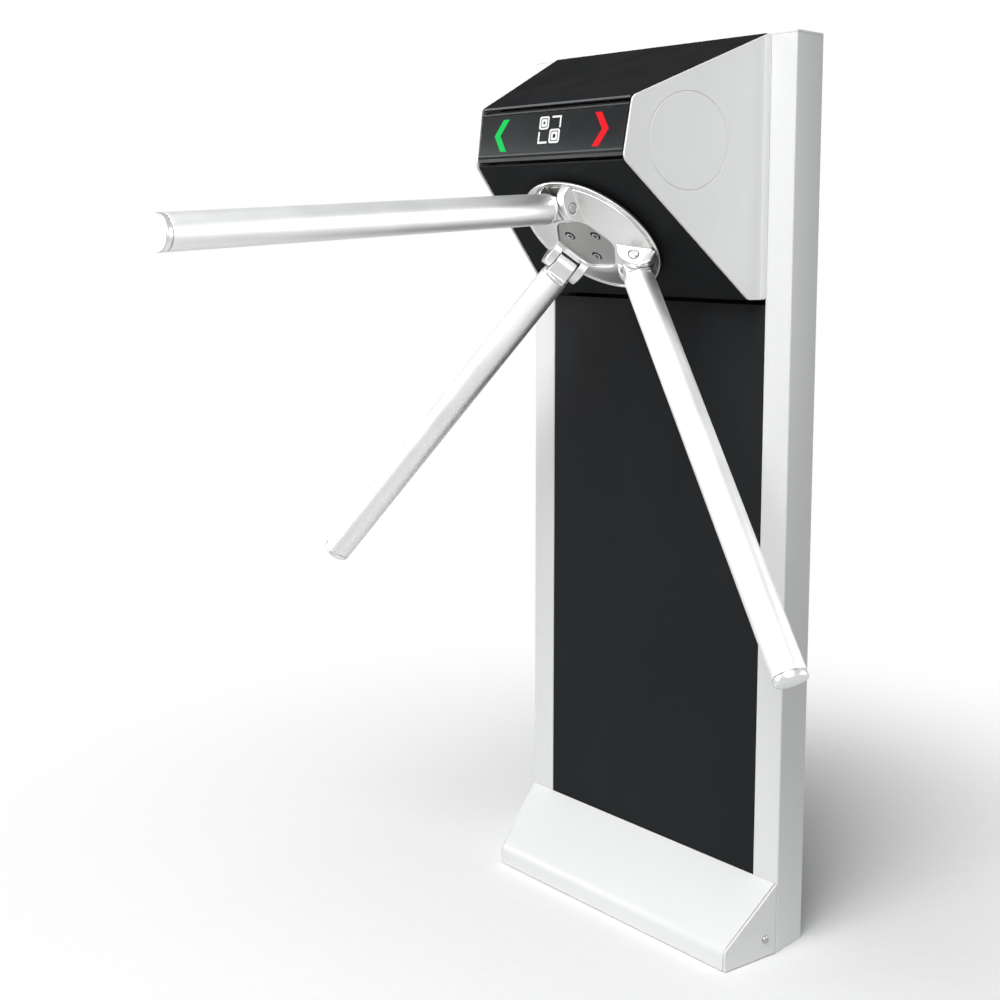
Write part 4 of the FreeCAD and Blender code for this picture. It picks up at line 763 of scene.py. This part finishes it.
def skin(name, distance, low, high, step, place):
    """The zero level of a distance function: one vertex in each grid cell that it crosses,
    slid along the gradient onto the level, and one quad round each grid edge that it cuts."""
    axes = [np.arange(a, b + step, step) for a, b in zip(low, high)]
    value = distance(np.stack(np.meshgrid(*axes, indexing="ij"), -1))
    inside = value < 0
    count = sum(inside[i:i - 1 or None, j:j - 1 or None, k:k - 1 or None].astype(int)
                for i in (0, 1) for j in (0, 1) for k in (0, 1))
    active = (count > 0) & (count < 8)
    index = np.full(active.shape, -1)
    index[active] = np.arange(active.sum())
    points = np.argwhere(active) * step + np.array([axis[0] for axis in axes]) + step / 2
    for _ in range(6):
        here = distance(points)
        nudges = np.eye(3) * step * 0.05
        slope = np.stack([distance(points + nudge) - distance(points - nudge)
                          for nudge in nudges], -1) / (step * 0.1)
        size = np.maximum((slope ** 2).sum(-1), 0.2)
        points = points - (slope * (here / size)[:, None]).clip(-step / 2, step / 2)
    quads = []
    for axis in range(3):
        ahead = np.moveaxis(inside, axis, 0)
        cells = np.moveaxis(index, axis, 0)
        crossing = ahead[1:, 1:-1, 1:-1] != ahead[:-1, 1:-1, 1:-1]
        a, b, c = np.nonzero(crossing)
        ring = np.stack([cells[a, b, c], cells[a, b + 1, c], cells[a, b + 1, c + 1],
                         cells[a, b, c + 1]], 1)
        flip = ahead[a, b + 1, c + 1] if axis != 1 else ~ahead[a, b + 1, c + 1]
        ring[~flip] = ring[~flip][:, ::-1]
        quads.append(ring)
    faces = np.concatenate(quads)
    mesh = bpy.data.meshes.new(name)
    mesh.from_pydata(place(points).tolist(), [], faces.tolist())
    mesh.update()
    mesh.shade_smooth()
    piece = bpy.data.objects.new(name, mesh)
    scene.collection.objects.link(piece)
    return piece


# The casting in millimetres: levels out of the hub's face, radii and walls from its axis.
pin_circle, pin_level = 61.0, 23.0
ear_radius, ear_half, ear_level = 23.5, 23.0, 11.5
cone_top, cone_flat, cone_rim, cone_drop, cone_run = 21.0, 40.0, 79.0, 11.5, 39.5
step_radius, step_level, casting_radius, casting_foot = 79.2, 9.7, 84.4, 7.6
recess_half, recess_side, recess_floor = 36.0, 36.5, 17.5
screw_circle, well_radius, well_floor = 22.0, 6.2, 13.0
slot_half, slot_wall, slot_floor, shelf_wall, shelf_level = 13.1, 45.5, 9.2, 37.0, 20.2
seat_radius, seat_floor = 6.2, 22.0


def folded(points):
    """One third of a turn for all three forks: the fork lies along +Y, the screws at 60
    degrees to both sides of it."""
    x, y, z = np.moveaxis(points, -1, 0)
    radius = np.hypot(x, y)
    angle = np.mod(np.arctan2(x, y) + np.pi / 3, 2 * np.pi / 3) - np.pi / 3
    return np.abs(radius * np.sin(angle)), radius * np.cos(angle), z, radius


def recess_outline(x, y, inset=0.0):
    """How far a spot lies outside the recess's six-sided outline, whose corners are round."""
    side = x * math.sin(math.pi / 3) + y * 0.5
    return -softer(-(y - recess_half + inset), -(side - recess_side + inset), 10)


def casting_distance(points):
    """A blunt cone joined softly to a fork of two wide ears with low round tops, with a slot
    for the tongue, a seat for the pin's head and a six-sided recess in the middle, whose
    floor has a well for each screw's head."""
    x, y, z, radius = folded(points)
    cone = (radius - cone_flat) * cone_drop + (z - cone_top) * cone_run
    cone = cone / math.hypot(cone_drop, cone_run)
    cone = -softer(-cone, -(z - cone_top), 3)
    cone = -softer(-cone, -(radius - cone_rim), 1.0)
    out, rise = y - pin_circle, z - ear_level
    ear = np.where(rise > 0, np.hypot(out, rise), np.abs(out)) - ear_radius
    fork = -softer(-ear, -(x - ear_half), 1.2)
    body = softer(cone, fork, 2.0)
    body = cut(body, np.maximum(step_radius - radius, z - step_level), 0.4)
    body = cut(body, casting_radius - radius, 0.6)
    recess = -softer(-recess_outline(x, y), -(recess_floor - z), 2.0)
    body = cut(body, recess, 0.8)
    well = np.hypot(x - screw_circle * math.sin(math.pi / 3), y - screw_circle / 2)
    body = cut(body, np.maximum(well - well_radius, well_floor - z), 0.5)
    deep = np.maximum(slot_wall - y, slot_floor - z)
    shelf = np.maximum(shelf_wall - y, shelf_level - z)
    body = cut(body, np.maximum(x - slot_half, softer(deep, shelf, 0.5)), 0.6)
    seat = np.hypot(out, z - pin_level) - seat_radius
    body = cut(body, np.maximum(seat, seat_floor - x), 0.4)
    return np.maximum(body, casting_foot - z)


def casting_painted_shade(points):
    """How much painted shade a spot gets, 0 to 1: the recess's floor and walls, the wells, the
    slots and the pin's seats are darkened where they lie in shade."""
    x, y, z, _ = folded(points)
    recess = recess_outline(x, y, inset=0.2)
    low = np.clip((cone_top - 0.7 - z) / 1.5, 0, 1) * np.clip(-recess / 0.8 + 0.6, 0, 1) * 0.66
    well = np.clip((recess_floor - 0.5 - z) / 0.5, 0, 1) * (recess < 0)
    slot = np.clip((slot_half + 0.5 - x) / 0.5, 0, 1)
    slot = slot * np.clip((y - slot_wall + 0.5) / 0.5, 0, 1)
    seat = np.hypot(y - pin_circle, z - pin_level) < seat_radius + 0.5
    seat = seat * np.clip((seat_floor + 0.8 - x) / 0.4, 0, 1) * (x > seat_floor - 1)
    return np.clip(np.maximum(np.maximum(low, well), np.maximum(slot * 0.85, seat)), 0, 1)


def shade(piece, painted_shade):
    """Stores a painted shade amount for each vertex, for the material to read."""
    piece.data.attributes.new("painted_shade", "FLOAT", "POINT").data.foreach_set("value", painted_shade)


casting = skin("hub_fork_casting", casting_distance, (-86, -86, 6.5), (86, 86, 37.0), 0.9, in_hub)
# The casting's painted shade, stored on its vertices.
spots = np.empty(len(casting.data.vertices) * 3)
casting.data.vertices.foreach_get("co", spots)
in_object = (spots.reshape(-1, 3) - hub_centre) * 1000
shade(casting, casting_painted_shade(in_object @ np.stack([across, hub_up, hub_out]).T))
casting.data.materials.append(cast_metal)
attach(casting, "hub")
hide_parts("hub_casting")

screw_steel = metal("screw_steel", (0.34, 0.34, 0.35, 1), (0.55, 0.55, 0.56, 1), (0.22, 0.36),
                    0.00001, 0.00002)
pin_steel = metal("pin_steel", (0.5, 0.5, 0.51, 1), (0.72, 0.72, 0.73, 1), (0.24, 0.36),
                  0.00001, 0.00002)
for name in ("hub_screws", "cover_screws"):
    recolour(name, screw_steel)

# ---------------------------------------------------------------- arms
# Each arm hangs on a hinge pin between two ears. A forged tongue carries a collar, and a
# satin steel tube is pressed over it and closed by a low domed cap.
tube_radius, neck, cap_seat = 17.0, 20.0, 481.0
tongue_radius, tongue_half, pin_radius, pin_half = 12.8, 12.4, 5.3, 23.2
tube_metal = metal("satin_tube", (0.83, 0.84, 0.825, 1), (0.91, 0.915, 0.905, 1), (0.45, 0.51),
                   0.000006, 0.000003, on_uv=True)
cap_metal = metal("cap_metal", (0.82, 0.83, 0.82, 1), (0.92, 0.93, 0.92, 1), (0.28, 0.36),
                  0.000006, 0.000003, on_uv=True)


def tongue_distance(points):
    """A slab with a round end about the pin, blended into the collar that meets the tube."""
    x, y, z = np.moveaxis(points, -1, 0)
    slab = np.where(z < 0, np.hypot(y, z), np.abs(y)) - tongue_radius
    slab = -softer(-slab, -(np.abs(x) - tongue_half), 1.2)
    slab = np.maximum(slab, z - neck + 0.6)
    collar = -softer(-(np.hypot(x, y) - tube_radius + 0.5), -(np.abs(z - neck + 2.2) - 1.9), 1.0)
    return softer(slab, collar, 3.0)


for number in (1, 2, 3):
    hinge = next(joint for joint in frame["joints"] if joint["name"] == f"arm_{number}_fold")
    pivot = np.array(hinge["pos_m"])
    low, high = (np.array(corner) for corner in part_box(f"arm_tube_{number}"))
    along = (low + high) / 2 - pivot
    along /= np.linalg.norm(along)
    pin_axis = np.array(hinge["axis"])
    pin_axis -= along * (pin_axis @ along)
    pin_axis /= np.linalg.norm(pin_axis)
    axes = np.stack([pin_axis, np.cross(along, pin_axis), along])

    def in_arm(points, pivot=pivot, axes=axes):
        """Arm millimetres (x along the pin, z along the arm) in the object frame."""
        return pivot + (points / 1000) @ axes

    def in_pin(points, pivot=pivot, axes=axes):
        """Pin millimetres: z along the hinge pin."""
        return pivot + (points / 1000) @ axes[[1, 2, 0]]

    tongue = skin(f"arm_{number}_tongue", tongue_distance, (-19, -19, -15), (19, 19, 22), 0.75,
                  in_arm)
    tongue.data.materials.append(cast_metal)
    # The tongue gets none of the painted shade.
    shade(tongue, np.zeros(len(tongue.data.vertices)))
    tube = turned(f"arm_{number}_tube", rounded(
        [(tube_radius - 1.5, neck), (tube_radius, neck), (tube_radius, cap_seat - 0.5),
         (tube_radius - 1.5, cap_seat - 0.5)], [0.1, 0.7, 0.7, 0.1], steps=5), in_arm)
    tube.data.materials.append(tube_metal)
    cap = turned(f"arm_{number}_cap", [
        (0, cap_seat - 14), (15.2, cap_seat - 14), (15.2, cap_seat - 0.1), (16.2, cap_seat + 0.1),
        (16.9, cap_seat + 0.7), (17.0, cap_seat + 1.6), (17.0, cap_seat + 5.0),
        (16.8, cap_seat + 5.8), (16.2, cap_seat + 6.4), (15.2, cap_seat + 6.6),
        (12.4, cap_seat + 6.8), (8.2, cap_seat + 6.92), (3.6, cap_seat + 6.98),
        (0, cap_seat + 7)], in_arm, closed=False, crease=40)
    cap.data.materials.append(cap_metal)
    pin = turned(f"hinge_pin_{number}", rounded(
        [(0, -pin_half), (pin_radius, -pin_half), (pin_radius, pin_half), (0, pin_half)],
        [0.001, 0.9, 0.9, 0.001], steps=5), in_pin, steps=48, closed=False)
    pin.data.materials.append(pin_steel)
    for piece, cad, slot, body in ((tongue, "arm_tongue", "cast_metal", f"arm_{number}"),
                                   (tube, "arm_tube", "arm_steel", f"arm_{number}"),
                                   (cap, "arm_cap", "cap_metal", f"arm_{number}"),
                                   (pin, None, "screw_steel", "hub")):
        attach(piece, body)
        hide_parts(f"{cad}_{number}" if cad else "hinge_pins")

# ---------------------------------------------------------------- inside
# Zinc-plated sheet, machined steel, circuit boards and moulded devices behind the covers.
plated = metal("zinc_plate", (0.42, 0.43, 0.45, 1), (0.6, 0.61, 0.62, 1), (0.32, 0.5),
               0.00001, 0.00003)
machined = metal("machined_steel", (0.36, 0.36, 0.37, 1), (0.56, 0.56, 0.57, 1), (0.22, 0.36),
                 0.00003, 0.00001)
board = powder_coat("board_green", (0.01, 0.07, 0.03, 1), (0.02, 0.11, 0.045, 1),
                    (0.2, 0.19, 0.08, 1), (0.3, 0.42), 0.5, 0.00003)
device = powder_coat("device_black", (0.014, 0.014, 0.015, 1), (0.022, 0.022, 0.024, 1),
                     (0.05, 0.05, 0.05, 1), (0.4, 0.55), 0.4, 0.00008)
case = metal("device_case", (0.5, 0.5, 0.51, 1), (0.66, 0.66, 0.67, 1), (0.4, 0.55),
             0.00002, 0.00002)
finishes = {"zinc_plate": plated, "machined_steel": machined, "bearing_steel": machined,
            "disc_thin": machined, "board_green": board, "device_black": device,
            "device_case": case}
for name, piece in frame["nodes"].items():
    slot = piece.data.materials[0].name if piece.data.materials else ""
    if slot in finishes and not piece.hide_render:
        recolour(name, finishes[slot])

# The visual model's box.
low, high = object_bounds()
